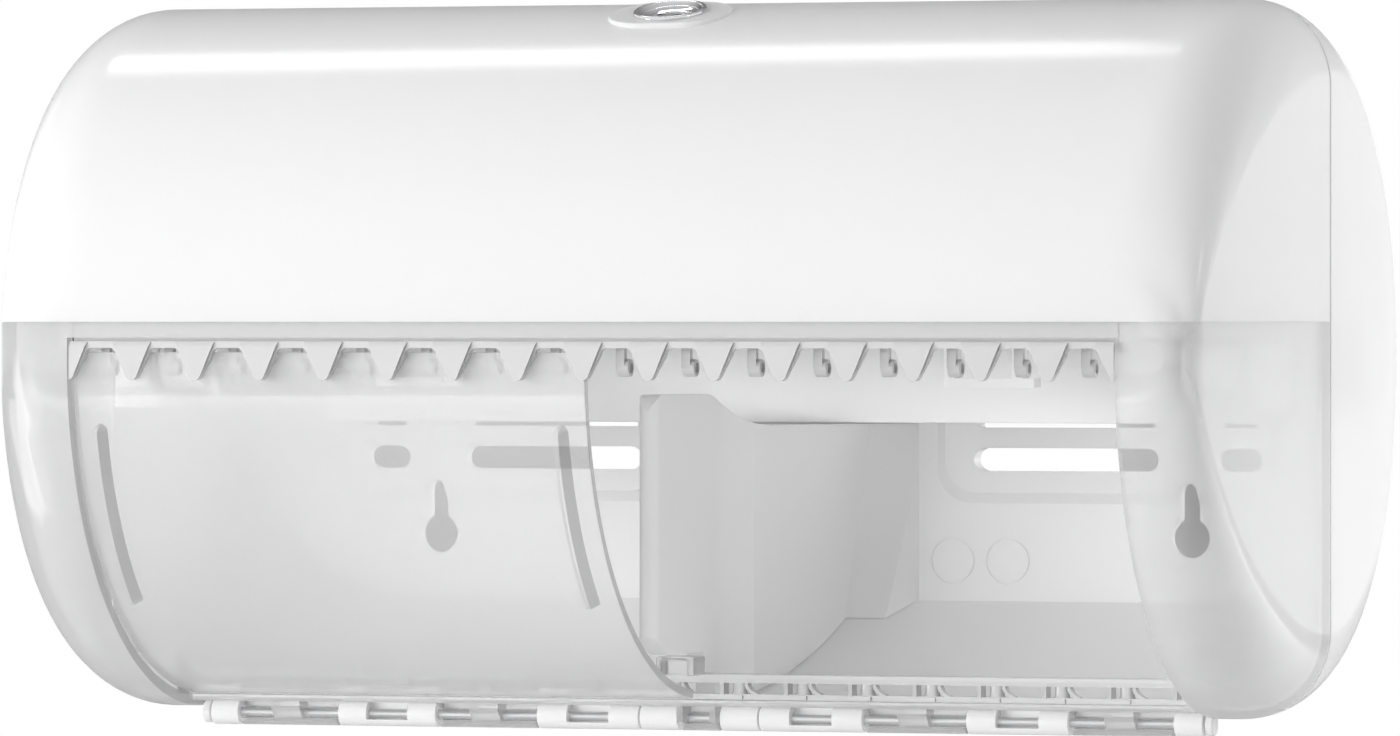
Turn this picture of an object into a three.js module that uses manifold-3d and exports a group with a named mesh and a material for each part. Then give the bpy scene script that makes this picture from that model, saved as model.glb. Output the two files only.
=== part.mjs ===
import * as THREE from "three";
import { mergeVertices } from "three/addons/utils/BufferGeometryUtils.js";
import Module from "manifold-3d";

// Wall dispenser for two toilet rolls that lie side by side.
// Millimetres. X runs to the right, Y towards the wall and Z up.
// The origin is the centre of the flat face that lies on the wall.
// "Depth" is counted from the foremost point of the cover towards the wall.

// Whole body
const bodyWidth = 286;
const bodyDepth = 153;
const bodyHeight = 156;
const seamDepth = 80;
const wallThickness = 2.5;
const backWallThickness = 3;
const seamGap = 0.3;
const clearance = 0.3;
const overrun = 4;

// Form of the cover and of the back shell
const sectionCorner = 19;
const noseHalfHeight = 9;
const frontNarrowing = 9.2;
const frontEdgeRound = 5.8;
const wallFaceHeightShare = 0.718;
const wallFaceNarrowing = 4.8;
const wallFaceCorner = 49.5;
const sideBowShare = 1.56;
const narrowingShare = 3.4;
const cornerGrowthShare = 1.72;
const cornerLimitShare = 0.96;

// Cover: white above, clear below, with the paper opening across the front
const clearTop = 7.9;
const openingTop = 4.5;
const openingSetback = 7;
const openingMargin = 24.6;
const toothCount = 16;

// Tear bar
const barHeight = 2.3;
const barThickness = 2.3;
const barFlangeTop = 8.5;
const barRecess = 0.7;
const railThickness = 1.6;
const toothLength = 6.4;
const toothRootWidth = 7.8;
const toothTipRound = 1.5;

// Hook rail behind the door
const hookRailThickness = 2;
const hookStemWidth = 1.8;
const hookFootWidth = 2.6;
const hookFootHeight = 3.8;
const hookFootReach = 3.7;
const hookFootDrop = 1.9;
const endCapWidth = 3;

// Sliding door
const doorThickness = 2;
const doorFrontDepth = 2.9;
const doorTopGap = 0.5;
const doorOverlap = 1.7;
const ribWidth = 2;
const ribHeight = 1.7;
const ribTop = -14.7;
const ribBottom = -52.5;
const ribInset = 4.8;

// Ladder along the bottom of the opening
const ladderRise = 8.6;
const ladderBarHeight = 1.6;
const ladderLipWidth = 1.6;
const ladderLipHeight = 1.4;
const ladderPostWidth = 3.2;
const ladderPostDepth = 3.5;
const ladderStripHeight = 1.2;

// Hinge along the bottom edge
const hingeSetback = 0.8;
const hingeDrop = 1.3;
const knuckleRadius = 2.8;
const rodRadius = 1;
const rodClearance = 0.15;
const hingeWebDepth = 4.4;
const hingeWebHeight = 4.6;
const capLength = 1.7;
const hingeMargin = 27.5;
const knuckleOwners = ["cover", "back", "back", "cover", "back", "cover", "back"];
const knuckleEndShares = [0.0416, 0.1203, 0.329, 0.5333, 0.7368, 0.9411, 1];
const windowKnuckleLength = 15;
const windowWidth = 9.8;
const tongueWidth = 6.8;

// Lock in the top of the cover
const lockSetback = 22;
const lockFlangeRadius = 8.15;
const lockFlangeHeight = 2.3;
const lockBodyRadius = 6;
const lockBodyLength = 21;
const lockPlugRadius = 4.2;
const keySlotLength = 5.6;
const keySlotWidth = 1.2;
const keySlotDepth = 6;
const lockPadWidth = 28;
const lockPadLength = 20;
const lockPadHeight = 0.8;
const lockNutRadius = 8.4;
const lockNutHeight = 2.6;
const lockNutSides = 6;
const camLength = 26;
const camWidth = 8;
const camThickness = 1.6;
const camHookLength = 2.4;
const camHookHeight = 4;
const camScrewRadius = 2.6;
const camScrewHeight = 1.4;

// Catch that the lock's cam turns behind
const catchWidth = 9;
const catchThickness = 1.8;
const catchFootLength = 13;
const catchSetback = 2.8;
const catchGap = 1.6;

// Inner face of the back shell
const lipBottom = -14.8;
const lipHeight = 19;
const lipReach = 12;
const lipThickness = 2.2;
const lipMargin = 31;
const slitHeight = 1.1;
const slitTrim = 1.4;
const slotTop = -20.5;
const slotHeight = 5.2;
const longSlotInner = 39.6;
const longSlotMargin = 60;
const shortSlotLength = 11;
const shortSlotMargin = 36;
const keyholeMargin = 54.2;
const keyholeZ = -40.6;
const keyholeRadius = 4.5;
const keyholeNeckWidth = 4.4;
const keyholeNeckTop = -28.2;
const padInner = 32;
const padTop = -17.5;
const padBottom = -33;
const padHeight = 1;
const padSlope = 3;

// Divider between the rolls
const dividerThickness = 4.4;
const dividerNose = 38;
const dividerTop = -6.8;
const dividerTopLength = 37;
const dividerSlopeDrop = 6.2;
const dividerFrontRound = 6;
const dividerFinTail = 3;
const dividerFilletDepth = 14;
const dividerFilletHalfWidth = 6;
const dividerFootDepth = 6.6;
const dividerFootTopHalfWidth = 18.4;
const dividerFootLowHalfWidth = 12.2;
const dividerToeHalfWidth = 21.6;
const dividerBaseHalfWidth = 27.4;
const dividerToeTop = -26.5;
const dividerToeBottom = -59;
const dividerFloorGap = 2.5;

// Hubs that carry the outer ends of the rolls
const rollAxisZ = -1.8;
const rollAxisSetback = 1;
const hubMargin = 31;
const hubFlangeRadius = 8;
const hubFlangeThickness = 2;
const hubRadius = 5.5;
const hubLength = 15;
const spigotRadius = 3;
const spigotClearance = 0.2;
const bracketThickness = 8;
const bracketHalfHeight = 9.5;
const bracketNose = 9;
const bracketTail = 24;

// Brake loops that hang from the top and rest on the rolls
const loopPlaceShare = 0.4545;
const loopWidth = 18;
const loopLegWidth = 2.4;
const loopLegDepth = 5;
const loopBottom = -6.4;
const loopBarHeight = 2;
const loopBarOverhang = 2.6;
const loopSetback = 4;
const loopPivotDrop = 11;
const loopEyeRadius = 4.2;
const brakePinRadius = 1.6;
const brakePinClearance = 0.2;
const earThickness = 2.4;
const earGap = 0.4;
const earRoofHeight = 2.4;

// Fineness of round shapes
const cornerSteps = 5;
const coverSteps = 12;
const backSteps = 8;
const roundSteps = 18;
const hookSteps = 6;

// Values that follow from the sizes above
const halfWidth = bodyWidth / 2;
const halfHeight = bodyHeight / 2;
const wallFaceHalfHeight = halfHeight * wallFaceHeightShare;
const openingHalfWidth = halfWidth - openingMargin;
const openingBackDepth = seamDepth - openingSetback;
const toothPitch = 2 * openingHalfWidth / toothCount;
const quarterTurn = Math.PI / 2;
const coverBack = seamDepth - seamGap / 2;
const backFront = seamDepth + seamGap / 2;
const innerWallDepth = bodyDepth - backWallThickness;
const hingeDepth = seamDepth - hingeSetback;
const hingeZ = -halfHeight - hingeDrop;
const doorBackDepth = openingBackDepth + doorOverlap;
const barTop = openingTop - clearance;
const barBottom = barTop - barHeight;
const doorTop = barBottom - doorTopGap;
const ladderBarTop = ladderRise - halfHeight;
const lockDepth = seamDepth - lockSetback;
const lockZ = halfHeight * Math.sqrt(1 - (lockSetback / seamDepth) ** 2);
const lockTilt = Math.atan(lockSetback * halfHeight ** 2 / (lockZ * seamDepth ** 2));
const camTop = -lockBodyLength - 2 * clearance;
const loopX = halfWidth * loopPlaceShare;
const loopPivotZ = halfHeight - loopPivotDrop;
const loopPivotDepth = seamDepth + loopSetback;
const rollAxisDepth = seamDepth - rollAxisSetback;
const bracketBackDepth = seamDepth + bracketTail;
const hubInner = halfWidth - hubMargin;
const lipHalfWidth = halfWidth - lipMargin;
const longSlotOuter = halfWidth - longSlotMargin;
const shortSlotOuter = halfWidth - shortSlotMargin;
const shortSlotInner = shortSlotOuter - shortSlotLength;
const keyholeX = halfWidth - keyholeMargin;
const padOuter = lipHalfWidth;
const dividerFrontDepth = seamDepth - dividerNose;
const dividerFinDepth = seamDepth + dividerFinTail;
const dividerSlopeDepth = seamDepth + dividerTopLength;

const wasm = await Module();
wasm.setup();

// Materials
function plastic(color, roughness, opacity = 1) {
  const transparent = opacity < 1;
  return new THREE.MeshStandardMaterial({ color, roughness, metalness: 0, opacity, transparent });
}
function metal(color, roughness) {
  return new THREE.MeshStandardMaterial({ color, roughness, metalness: 1 });
}
const whitePlastic = () => plastic(0xf1f1f0, 0.22);
const innerPlastic = () => plastic(0xe9e9e8, 0.4);
const clearPlastic = () => plastic(0xd3d6d8, 0.15, 0.55);
const chromeMetal = () => metal(0xd9dadb, 0.08);
const steelMetal = () => metal(0xb9bbbd, 0.3);

// Six times the volume that the faces enclose; below zero when they face inwards.
function signedVolume(points, faces) {
  const corner = (i) => new THREE.Vector3(points[3 * i], points[3 * i + 1], points[3 * i + 2]);
  let sum = 0;
  for (let i = 0; i < faces.length; i += 3) {
    sum += corner(faces[i]).dot(corner(faces[i + 1]).cross(corner(faces[i + 2])));
  }
  return sum;
}

function solidOf(vertProperties, triVerts) {
  if (signedVolume(vertProperties, triVerts) < 0) triVerts.reverse();
  return new wasm.Manifold(new wasm.Mesh({ numProp: 3, vertProperties, triVerts }));
}

function solidFrom(geometry) {
  const bare = geometry.clone();
  bare.deleteAttribute("normal");
  bare.deleteAttribute("uv");
  const merged = mergeVertices(bare);
  return solidOf(new Float32Array(merged.attributes.position.array), new Uint32Array(merged.index.array));
}

// The same solid on the other side of the middle.
function mirrored(solid) {
  const { vertProperties, triVerts } = solid.getMesh();
  const flipped = vertProperties.map((value, i) => (i % 3 === 0 ? -value : value));
  return solidOf(flipped, triVerts);
}

function joined(...solids) {
  return solids.reduce((whole, next) => whole.add(next));
}

function cutBy(solid, ...tools) {
  return tools.reduce((left, tool) => left.subtract(tool), solid);
}

const yAt = (depth) => depth - bodyDepth;

// A box between two corners, with depths in place of Y.
function block(x0, x1, depth0, depth1, z0, z1) {
  const shape = new THREE.BoxGeometry(x1 - x0, depth1 - depth0, z1 - z0);
  return solidFrom(shape.translate((x0 + x1) / 2, yAt((depth0 + depth1) / 2), (z0 + z1) / 2));
}

function extruded(shape, length, curveSegments = roundSteps / 2) {
  return new THREE.ExtrudeGeometry(shape, { depth: length, bevelEnabled: false, curveSegments });
}

function outlineOf(points) {
  return new THREE.Shape(points.map(([u, v]) => new THREE.Vector2(u, v)));
}

// Axes that an extruded outline is laid on: its first, its second and its length.
function basis(first, second, length) {
  return new THREE.Matrix4().makeBasis(first, second, length);
}
const alongX = new THREE.Vector3(1, 0, 0);
const alongY = new THREE.Vector3(0, 1, 0);
const alongZ = new THREE.Vector3(0, 0, 1);

// An outline in depth and height, drawn out along X.
function barAlongX(points, x0, x1) {
  const drawn = extruded(outlineOf(points.map(([depth, z]) => [yAt(depth), z])), x1 - x0);
  return solidFrom(drawn.applyMatrix4(basis(alongY, alongZ, alongX)).translate(x0, 0, 0));
}

// A shape in X and Z, drawn out from one depth to another.
function plateAlongY(shape, depth0, depth1, steps = roundSteps / 2) {
  const drawn = extruded(shape, depth1 - depth0, steps);
  const turned = drawn.applyMatrix4(basis(alongX, alongZ, alongY.clone().negate()));
  return solidFrom(turned.translate(0, yAt(depth1), 0));
}

// A round bar along X.
function roundAlongX(radius, x0, x1, depth, z, steps = roundSteps) {
  const shape = new THREE.CylinderGeometry(radius, radius, x1 - x0, steps);
  return solidFrom(shape.rotateZ(quarterTurn).translate((x0 + x1) / 2, yAt(depth), z));
}

// A closed skin through a row of rings that have equal numbers of points.
function loft(rings) {
  const count = rings[0].length;
  const last = (rings.length - 1) * count;
  const index = [];
  for (let ring = 0; ring + 1 < rings.length; ring++) {
    for (let i = 0; i < count; i++) {
      const a = ring * count + i;
      const b = ring * count + (i + 1) % count;
      index.push(a, b, b + count, a, b + count, a + count);
    }
  }
  for (let i = 1; i + 1 < count; i++) {
    index.push(0, i + 1, i);
    index.push(last, last + i, last + i + 1);
  }
  const shape = new THREE.BufferGeometry();
  shape.setAttribute("position", new THREE.Float32BufferAttribute(rings.flat(2), 3));
  shape.setIndex(index);
  return solidFrom(shape);
}

// A ring of points round a rectangle with round corners, at one depth.
function roundedRing(halfX, halfZ, corner, depth) {
  const radius = Math.min(corner, halfZ * cornerLimitShare, halfX * cornerLimitShare);
  const ring = [];
  [[1, 1], [-1, 1], [-1, -1], [1, -1]].forEach(([sideX, sideZ], quarter) => {
    for (let step = 0; step <= cornerSteps; step++) {
      const angle = (quarter + step / cornerSteps) * quarterTurn;
      const x = sideX * (halfX - radius) + radius * Math.cos(angle);
      const z = sideZ * (halfZ - radius) + radius * Math.sin(angle);
      ring.push([x, yAt(depth), z]);
    }
  });
  return ring;
}

// Half the width of the cover at a depth: bowed sides and a rounded front edge.
function coverHalfWidth(depth) {
  const share = 1 - depth / seamDepth;
  const bow = 1 - (1 - share ** sideBowShare) ** (1 / sideBowShare);
  const left = Math.max(0, frontEdgeRound - depth);
  const edge = frontEdgeRound - Math.sqrt(frontEdgeRound ** 2 - left ** 2);
  return halfWidth - frontNarrowing * bow - edge;
}

// The cover's form, drawn in by an inset: half an ellipse seen from the side.
function coverForm(inset, backDepth) {
  const reach = seamDepth - inset;
  const startAngle = Math.asin(noseHalfHeight / halfHeight);
  const rings = [];
  for (let step = 0; step <= coverSteps; step++) {
    const angle = startAngle + (quarterTurn - startAngle) * step / coverSteps;
    const outerDepth = step ? seamDepth * (1 - Math.cos(angle)) : 0;
    const innerDepth = step ? seamDepth - reach * Math.cos(angle) : inset;
    const depth = step < coverSteps ? innerDepth : backDepth;
    const halfX = coverHalfWidth(outerDepth) - inset;
    rings.push(roundedRing(halfX, (halfHeight - inset) * Math.sin(angle), sectionCorner - inset, depth));
  }
  return loft(rings);
}

// The back shell's form: a shallower ellipse that ends in the flat wall face.
function backForm(inset, frontDepth, backDepth) {
  const span = bodyDepth - seamDepth;
  const reach = span / Math.sqrt(1 - (wallFaceHalfHeight / halfHeight) ** 2) - inset;
  const endAngle = Math.asin((backDepth - seamDepth) / reach);
  const rings = [];
  for (let step = 0; step <= backSteps; step++) {
    const angle = endAngle * step / backSteps;
    const depth = seamDepth + reach * Math.sin(angle);
    const share = (depth - seamDepth) / span;
    const halfX = halfWidth - wallFaceNarrowing * share ** narrowingShare - inset;
    const corner = sectionCorner + (wallFaceCorner - sectionCorner) * share ** cornerGrowthShare - inset;
    rings.push(roundedRing(halfX, (halfHeight - inset) * Math.cos(angle), corner, step ? depth : frontDepth));
  }
  return loft(rings);
}

// Everything inside the back shell that another piece may fill.
function backRoom(frontDepth) {
  return backForm(wallThickness + clearance, frontDepth, innerWallDepth);
}

// Hinge knuckles on one side of the middle: who owns each and where it lies.
function hingeLayout() {
  const end = halfWidth - hingeMargin;
  const spans = knuckleOwners.map((owner, k) => {
    const from = k ? end * knuckleEndShares[k - 1] : clearance / 2;
    return { owner, from: k ? from + clearance / 2 : -end * knuckleEndShares[0] + clearance / 2,
      to: end * knuckleEndShares[k] - clearance / 2 };
  });
  return { spans, end };
}
const hinge = hingeLayout();

// A knuckle on a web. The back's long ones have a window that shows the rod, and
// the cover's are open on both sides of a tongue.
function knuckle(from, to, owner) {
  const onBack = owner === "back";
  const webFront = onBack ? backFront : hingeDepth - hingeWebDepth;
  const webBack = onBack ? hingeDepth + hingeWebDepth : hingeDepth;
  const low = hingeZ - rodRadius;
  const barrel = roundAlongX(knuckleRadius, from, to, hingeDepth, hingeZ);
  const whole = joined(barrel, block(from, to, webFront, webBack, low, low + hingeWebHeight));
  if (to - from < windowKnuckleLength) return whole;
  const middle = (from + to) / 2;
  const rodRoom = rodRadius + clearance;
  const window = (x0, x1) => block(x0, x1, hingeDepth - 2 * knuckleRadius, hingeDepth + rodRoom,
    hingeZ - rodRoom, hingeZ + 2 * knuckleRadius);
  if (onBack) return cutBy(whole, window(middle - windowWidth / 2, middle + windowWidth / 2));
  const tongue = tongueWidth / 2;
  return cutBy(whole, window(from - overrun, middle - tongue), window(middle + tongue, to + overrun));
}

function knuckles(owner) {
  const made = [];
  for (const span of hinge.spans.filter((each) => each.owner === owner)) {
    made.push(knuckle(span.from, span.to, owner));
    if (span.from > 0) made.push(knuckle(-span.to, -span.from, owner));
  }
  return joined(...made);
}

function rodHole() {
  const end = hinge.end + overrun;
  return roundAlongX(rodRadius + rodClearance, -end, end, hingeDepth, hingeZ);
}

// The hollow in both shells in which the knuckles turn.
function hingeHollow() {
  const end = hinge.end + capLength + 2 * clearance;
  return roundAlongX(knuckleRadius + clearance, -end, end, hingeDepth, hingeZ);
}

// A slot with round ends, as a shape in X and Z.
function slotShape(x0, x1, z0, z1) {
  const radius = (z1 - z0) / 2;
  const shape = new THREE.Shape();
  shape.absarc(x1 - radius, z0 + radius, radius, -quarterTurn, quarterTurn, false);
  shape.absarc(x0 + radius, z0 + radius, radius, quarterTurn, 3 * quarterTurn, false);
  return shape;
}

function throughBackWall(shape) {
  return plateAlongY(shape, innerWallDepth - padHeight - overrun, bodyDepth + overrun);
}

function keyholeCut() {
  const neck = keyholeNeckWidth / 2;
  const head = new THREE.Shape().absarc(keyholeX, keyholeZ, keyholeRadius, 0, 4 * quarterTurn, false);
  const slot = new THREE.Shape();
  slot.moveTo(keyholeX - neck, keyholeZ);
  slot.lineTo(keyholeX + neck, keyholeZ);
  slot.absarc(keyholeX, keyholeNeckTop - neck, neck, 0, 2 * quarterTurn, false);
  return joined(throughBackWall(head), throughBackWall(slot));
}

// The openings in the back wall of one bay.
function wallCuts() {
  const slitBottom = lipBottom - slitHeight;
  return joined(
    throughBackWall(slotShape(longSlotInner, longSlotOuter, slotTop - slotHeight, slotTop)),
    throughBackWall(slotShape(shortSlotInner, shortSlotOuter, slotTop - slotHeight, slotTop)),
    throughBackWall(slotShape(longSlotInner + slitTrim, longSlotOuter - slitTrim, slitBottom, lipBottom)),
    throughBackWall(slotShape(shortSlotInner + slitTrim, shortSlotOuter - slitTrim, slitBottom, lipBottom)),
    keyholeCut());
}

// A low pad with sloping sides round the screw slots of one bay.
function slotPad() {
  const middleX = (padInner + padOuter) / 2;
  const middleZ = (padTop + padBottom) / 2;
  const halfX = (padOuter - padInner) / 2;
  const halfZ = (padTop - padBottom) / 2;
  const moved = (ring) => ring.map(([x, y, z]) => [x + middleX, y, z + middleZ]);
  const wide = roundedRing(halfX, halfZ, halfZ, innerWallDepth + backWallThickness / 2);
  const foot = roundedRing(halfX, halfZ, halfZ, innerWallDepth);
  const narrow = roundedRing(halfX - padSlope, halfZ - padSlope, halfZ, innerWallDepth - padHeight);
  return loft([moved(narrow), moved(foot), moved(wide)]);
}

// The curved lip that overhangs the back wall above the slots.
function wallLip() {
  const steps = coverSteps / 2;
  const outer = [];
  const inner = [];
  const rootDepth = innerWallDepth + clearance;
  for (let step = 0; step <= steps; step++) {
    const angle = quarterTurn * step / steps;
    const rise = Math.sin(angle);
    const reach = Math.cos(angle);
    outer.push([rootDepth - lipReach * reach, lipBottom + lipHeight * rise]);
    const innerRise = lipBottom + (lipHeight - lipThickness) * rise;
    inner.push([rootDepth - (lipReach - lipThickness) * reach, innerRise]);
  }
  return barAlongX([...outer, ...inner.reverse()], -lipHalfWidth, lipHalfWidth);
}

function backShell() {
  const outer = backForm(0, backFront, bodyDepth);
  const inner = backForm(wallThickness, backFront - overrun, innerWallDepth);
  const hollow = cutBy(outer, inner);
  const lined = joined(hollow, wallLip(), slotPad(), mirrored(slotPad()));
  const pierced = cutBy(lined, wallCuts(), mirrored(wallCuts()), hingeHollow());
  return cutBy(joined(pierced, knuckles("back")), rodHole());
}

function coverShell() {
  return cutBy(coverForm(0, coverBack), coverForm(wallThickness, coverBack + overrun));
}

// Lays a shape made round its own Z axis on the lock's tilted axis.
function onLockAxis(shape) {
  const place = new THREE.Matrix4().makeRotationX(lockTilt).setPosition(0, yAt(lockDepth), lockZ);
  return solidFrom(shape.applyMatrix4(place));
}

function disc(radius, z0, z1, steps = roundSteps) {
  const shape = new THREE.CylinderGeometry(radius, radius, z1 - z0, steps);
  return shape.rotateX(quarterTurn).translate(0, 0, (z0 + z1) / 2);
}

function coverFront() {
  const lower = block(-bodyWidth, bodyWidth, -overrun, bodyDepth, -bodyHeight, clearTop);
  const end = lockPadLength / 2;
  const straight = (lockPadWidth - lockPadLength) / 2;
  const pad = new THREE.Shape();
  pad.absarc(straight, 0, end, -quarterTurn, quarterTurn, false);
  pad.absarc(-straight, 0, end, quarterTurn, 3 * quarterTurn, false);
  const padShape = extruded(pad, lockPadHeight + wallThickness / 2).translate(0, 0, -wallThickness / 2);
  const hole = disc(lockBodyRadius + clearance, -lockBodyLength, lockFlangeHeight);
  return cutBy(joined(cutBy(coverShell(), lower), onLockAxis(padShape)), onLockAxis(hole));
}

function coverWindow() {
  const upper = block(-bodyWidth, bodyWidth, -overrun, bodyDepth, clearTop, bodyHeight);
  const half = openingHalfWidth;
  const opening = block(-half, half, -overrun, openingBackDepth, -bodyHeight, openingTop);
  const shell = cutBy(coverShell(), upper, opening, hingeHollow());
  return cutBy(joined(shell, knuckles("cover")), rodHole());
}

// One tooth: straight flanks down to a round tip.
function toothShape(x) {
  const tipCentre = barBottom - toothLength + toothTipRound;
  const shape = new THREE.Shape();
  shape.moveTo(x + toothRootWidth / 2, barTop - barRecess);
  shape.lineTo(x - toothRootWidth / 2, barTop - barRecess);
  shape.lineTo(x - toothRootWidth / 2, barBottom);
  shape.absarc(x, tipCentre, toothTipRound, 2 * quarterTurn, 4 * quarterTurn, false);
  shape.lineTo(x + toothRootWidth / 2, barBottom);
  return shape;
}

// Depth of the inner face of the cover's wall at a height near the nose.
function innerWallAt(z) {
  const reach = seamDepth - wallThickness;
  return seamDepth - reach * Math.sqrt(1 - (z / (halfHeight - wallThickness)) ** 2);
}

const flangeFront = innerWallAt(barFlangeTop) + clearance;
const flangeBack = flangeFront + railThickness;
const hookFront = flangeBack + clearance;

function tearBar() {
  const half = openingHalfWidth - clearance;
  const neck = block(-half, half, clearance + barRecess, flangeBack, barBottom, barTop);
  const flange = block(-half, half, flangeFront, flangeBack, barBottom, barFlangeTop);
  const limits = block(-half, half, -overrun, seamDepth, -bodyHeight, bodyHeight);
  let whole = joined(neck, flange);
  for (let k = 0; k <= toothCount; k++) {
    const x = (k - toothCount / 2) * toothPitch;
    whole = joined(whole, plateAlongY(toothShape(x), clearance, barThickness, cornerSteps).intersect(limits));
  }
  return whole;
}

// Places along X of the hooks and of the ladder's posts, between the teeth.
function betweenTeeth() {
  const first = (1 - toothCount) * toothPitch / 2;
  return Array.from({ length: toothCount }, (_, k) => first + k * toothPitch);
}

// The rail behind the tear bar whose hooks keep the door from falling inwards.
function hookRail() {
  const half = openingHalfWidth - clearance;
  const stem = hookStemWidth / 2;
  const foot = hookFootWidth / 2;
  const heelRadius = hookFootHeight / 2;
  const toeRadius = hookFootHeight / 3;
  const footBottom = barBottom - hookFootDrop - hookFootHeight;
  const heel = hookFront + heelRadius;
  const toe = hookFront + hookFootReach - toeRadius;
  let whole = block(-half, half, hookFront, hookFront + hookRailThickness, barBottom, barFlangeTop);
  for (const x of betweenTeeth()) {
    whole = joined(whole,
      block(x - stem, x + stem, hookFront, hookFront + railThickness, footBottom + heelRadius, barTop),
      roundAlongX(heelRadius, x - foot, x + foot, heel, footBottom + heelRadius, hookSteps),
      roundAlongX(toeRadius, x - foot, x + foot, toe, footBottom + toeRadius, hookSteps));
  }
  return whole;
}

// A cap that holds the ends of the tear bar and of the hook rail.
function barEndCap() {
  const back = hookFront + hookRailThickness + clearance;
  return block(openingHalfWidth, openingHalfWidth + endCapWidth, flangeFront, back, doorTop, barFlangeTop);
}

// A sheet that follows the cover's curve, between two insets and two angles.
function curvedSheet(outerInset, innerInset, startAngle, endAngle, x0, x1) {
  const arc = (inset) => {
    const points = [];
    const count = 2 * coverSteps;
    for (let step = 0; step <= count; step++) {
      const angle = startAngle + (endAngle - startAngle) * step / count;
      const depth = seamDepth - (seamDepth - inset) * Math.cos(angle);
      points.push([depth, -(halfHeight - inset) * Math.sin(angle)]);
    }
    return points;
  };
  return barAlongX([...arc(outerInset), ...arc(innerInset).reverse()], x0, x1);
}

function slidingDoor() {
  const x0 = -openingHalfWidth + clearance;
  const x1 = -clearance;
  const innerInset = doorFrontDepth + doorThickness;
  const middle = doorFrontDepth + doorThickness / 2;
  const angleAt = (z) => Math.asin(-z / (halfHeight - doorFrontDepth));
  const endAngle = Math.acos((seamDepth - doorBackDepth) / (seamDepth - doorFrontDepth));
  let door = curvedSheet(doorFrontDepth, innerInset, angleAt(doorTop), endAngle, x0, x1);
  for (const x of [x0 + ribInset, x1 - ribInset - ribWidth]) {
    const ribFront = doorFrontDepth - ribHeight;
    door = joined(door, curvedSheet(ribFront, middle, angleAt(ribTop), angleAt(ribBottom), x, x + ribWidth));
  }
  return door;
}

// The ladder that closes the opening below and keeps the door's lower edge in.
function lowerLadder() {
  const half = openingHalfWidth - clearance;
  const under = ladderBarTop - ladderBarHeight;
  const postFront = doorBackDepth + 2 * clearance;
  const back = postFront + ladderPostDepth;
  const floor = wallThickness + clearance * 3 / 2 - halfHeight;
  const lipBack = openingBackDepth + ladderLipWidth;
  let whole = joined(
    block(-half, half, openingBackDepth, back, under, ladderBarTop),
    block(-half, half, openingBackDepth, lipBack, under - ladderLipHeight, ladderBarTop),
    block(-half, half, postFront, back, floor, floor + ladderStripHeight));
  for (const x of betweenTeeth()) {
    const post = ladderPostWidth / 2;
    whole = joined(whole, block(x - post, x + post, postFront, back, floor, ladderBarTop));
  }
  return whole;
}

function hingeRod() {
  return roundAlongX(rodRadius, -hinge.end, hinge.end, hingeDepth, hingeZ);
}

function rodCap() {
  const near = hinge.end + clearance;
  return roundAlongX(knuckleRadius - clearance, near, near + capLength, hingeDepth, hingeZ);
}

// The fixed part of the lock: a domed chrome face on a round body.
function lockBarrel() {
  const seat = lockPadHeight;
  const top = seat + lockFlangeHeight;
  const points = [[0, -lockBodyLength], [lockBodyRadius, -lockBodyLength], [lockBodyRadius, seat]];
  points.push([lockFlangeRadius, seat]);
  for (let step = 0; step <= cornerSteps; step++) {
    const angle = quarterTurn * step / cornerSteps;
    const radius = lockPlugRadius + (lockFlangeRadius - lockPlugRadius) * Math.cos(angle);
    points.push([radius, seat + clearance + (lockFlangeHeight - clearance) * Math.sin(angle)]);
  }
  points.push([0, top]);
  const shape = new THREE.LatheGeometry(points.map(([r, z]) => new THREE.Vector2(r, z)), roundSteps);
  const bore = disc(lockPlugRadius + clearance, -lockBodyLength - overrun, top + overrun);
  return cutBy(onLockAxis(shape.rotateX(quarterTurn)), onLockAxis(bore));
}

function lockPlug() {
  const top = lockPadHeight + lockFlangeHeight;
  const slot = new THREE.BoxGeometry(keySlotLength, keySlotWidth, keySlotDepth + overrun);
  slot.translate(0, 0, top - (keySlotDepth - overrun) / 2);
  return cutBy(onLockAxis(disc(lockPlugRadius, -lockBodyLength - clearance, top)), onLockAxis(slot));
}

function lockNut() {
  const top = -wallThickness - 2 * clearance;
  const ring = disc(lockNutRadius, top - lockNutHeight, top, lockNutSides);
  const hole = disc(lockBodyRadius + clearance, top - lockNutHeight - overrun, top + overrun);
  return cutBy(onLockAxis(ring), onLockAxis(hole));
}

// The cam points to the side at rest, clear of the catch.
function lockCam() {
  const half = camWidth / 2;
  const arm = new THREE.Shape();
  arm.absarc(0, 0, half, quarterTurn, 3 * quarterTurn, false);
  arm.lineTo(camLength, -half);
  arm.lineTo(camLength, half);
  const plate = extruded(arm, camThickness).translate(0, 0, camTop - camThickness);
  const hook = new THREE.BoxGeometry(camHookLength, camWidth, camHookHeight + camThickness);
  hook.translate(camLength - camHookLength / 2, 0, camTop + (camHookHeight - camThickness) / 2);
  return joined(onLockAxis(plate), onLockAxis(hook));
}

function camScrew() {
  const top = camTop - camThickness - clearance;
  return onLockAxis(disc(camScrewRadius, top - camScrewHeight, top));
}

// Height of the upper face of the cam, turned to the wall, at a depth.
function camHeightAt(depth) {
  const startDepth = lockDepth - camTop * Math.sin(lockTilt);
  const startZ = lockZ + camTop * Math.cos(lockTilt);
  return startZ + (depth - startDepth) * Math.tan(lockTilt);
}

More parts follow.
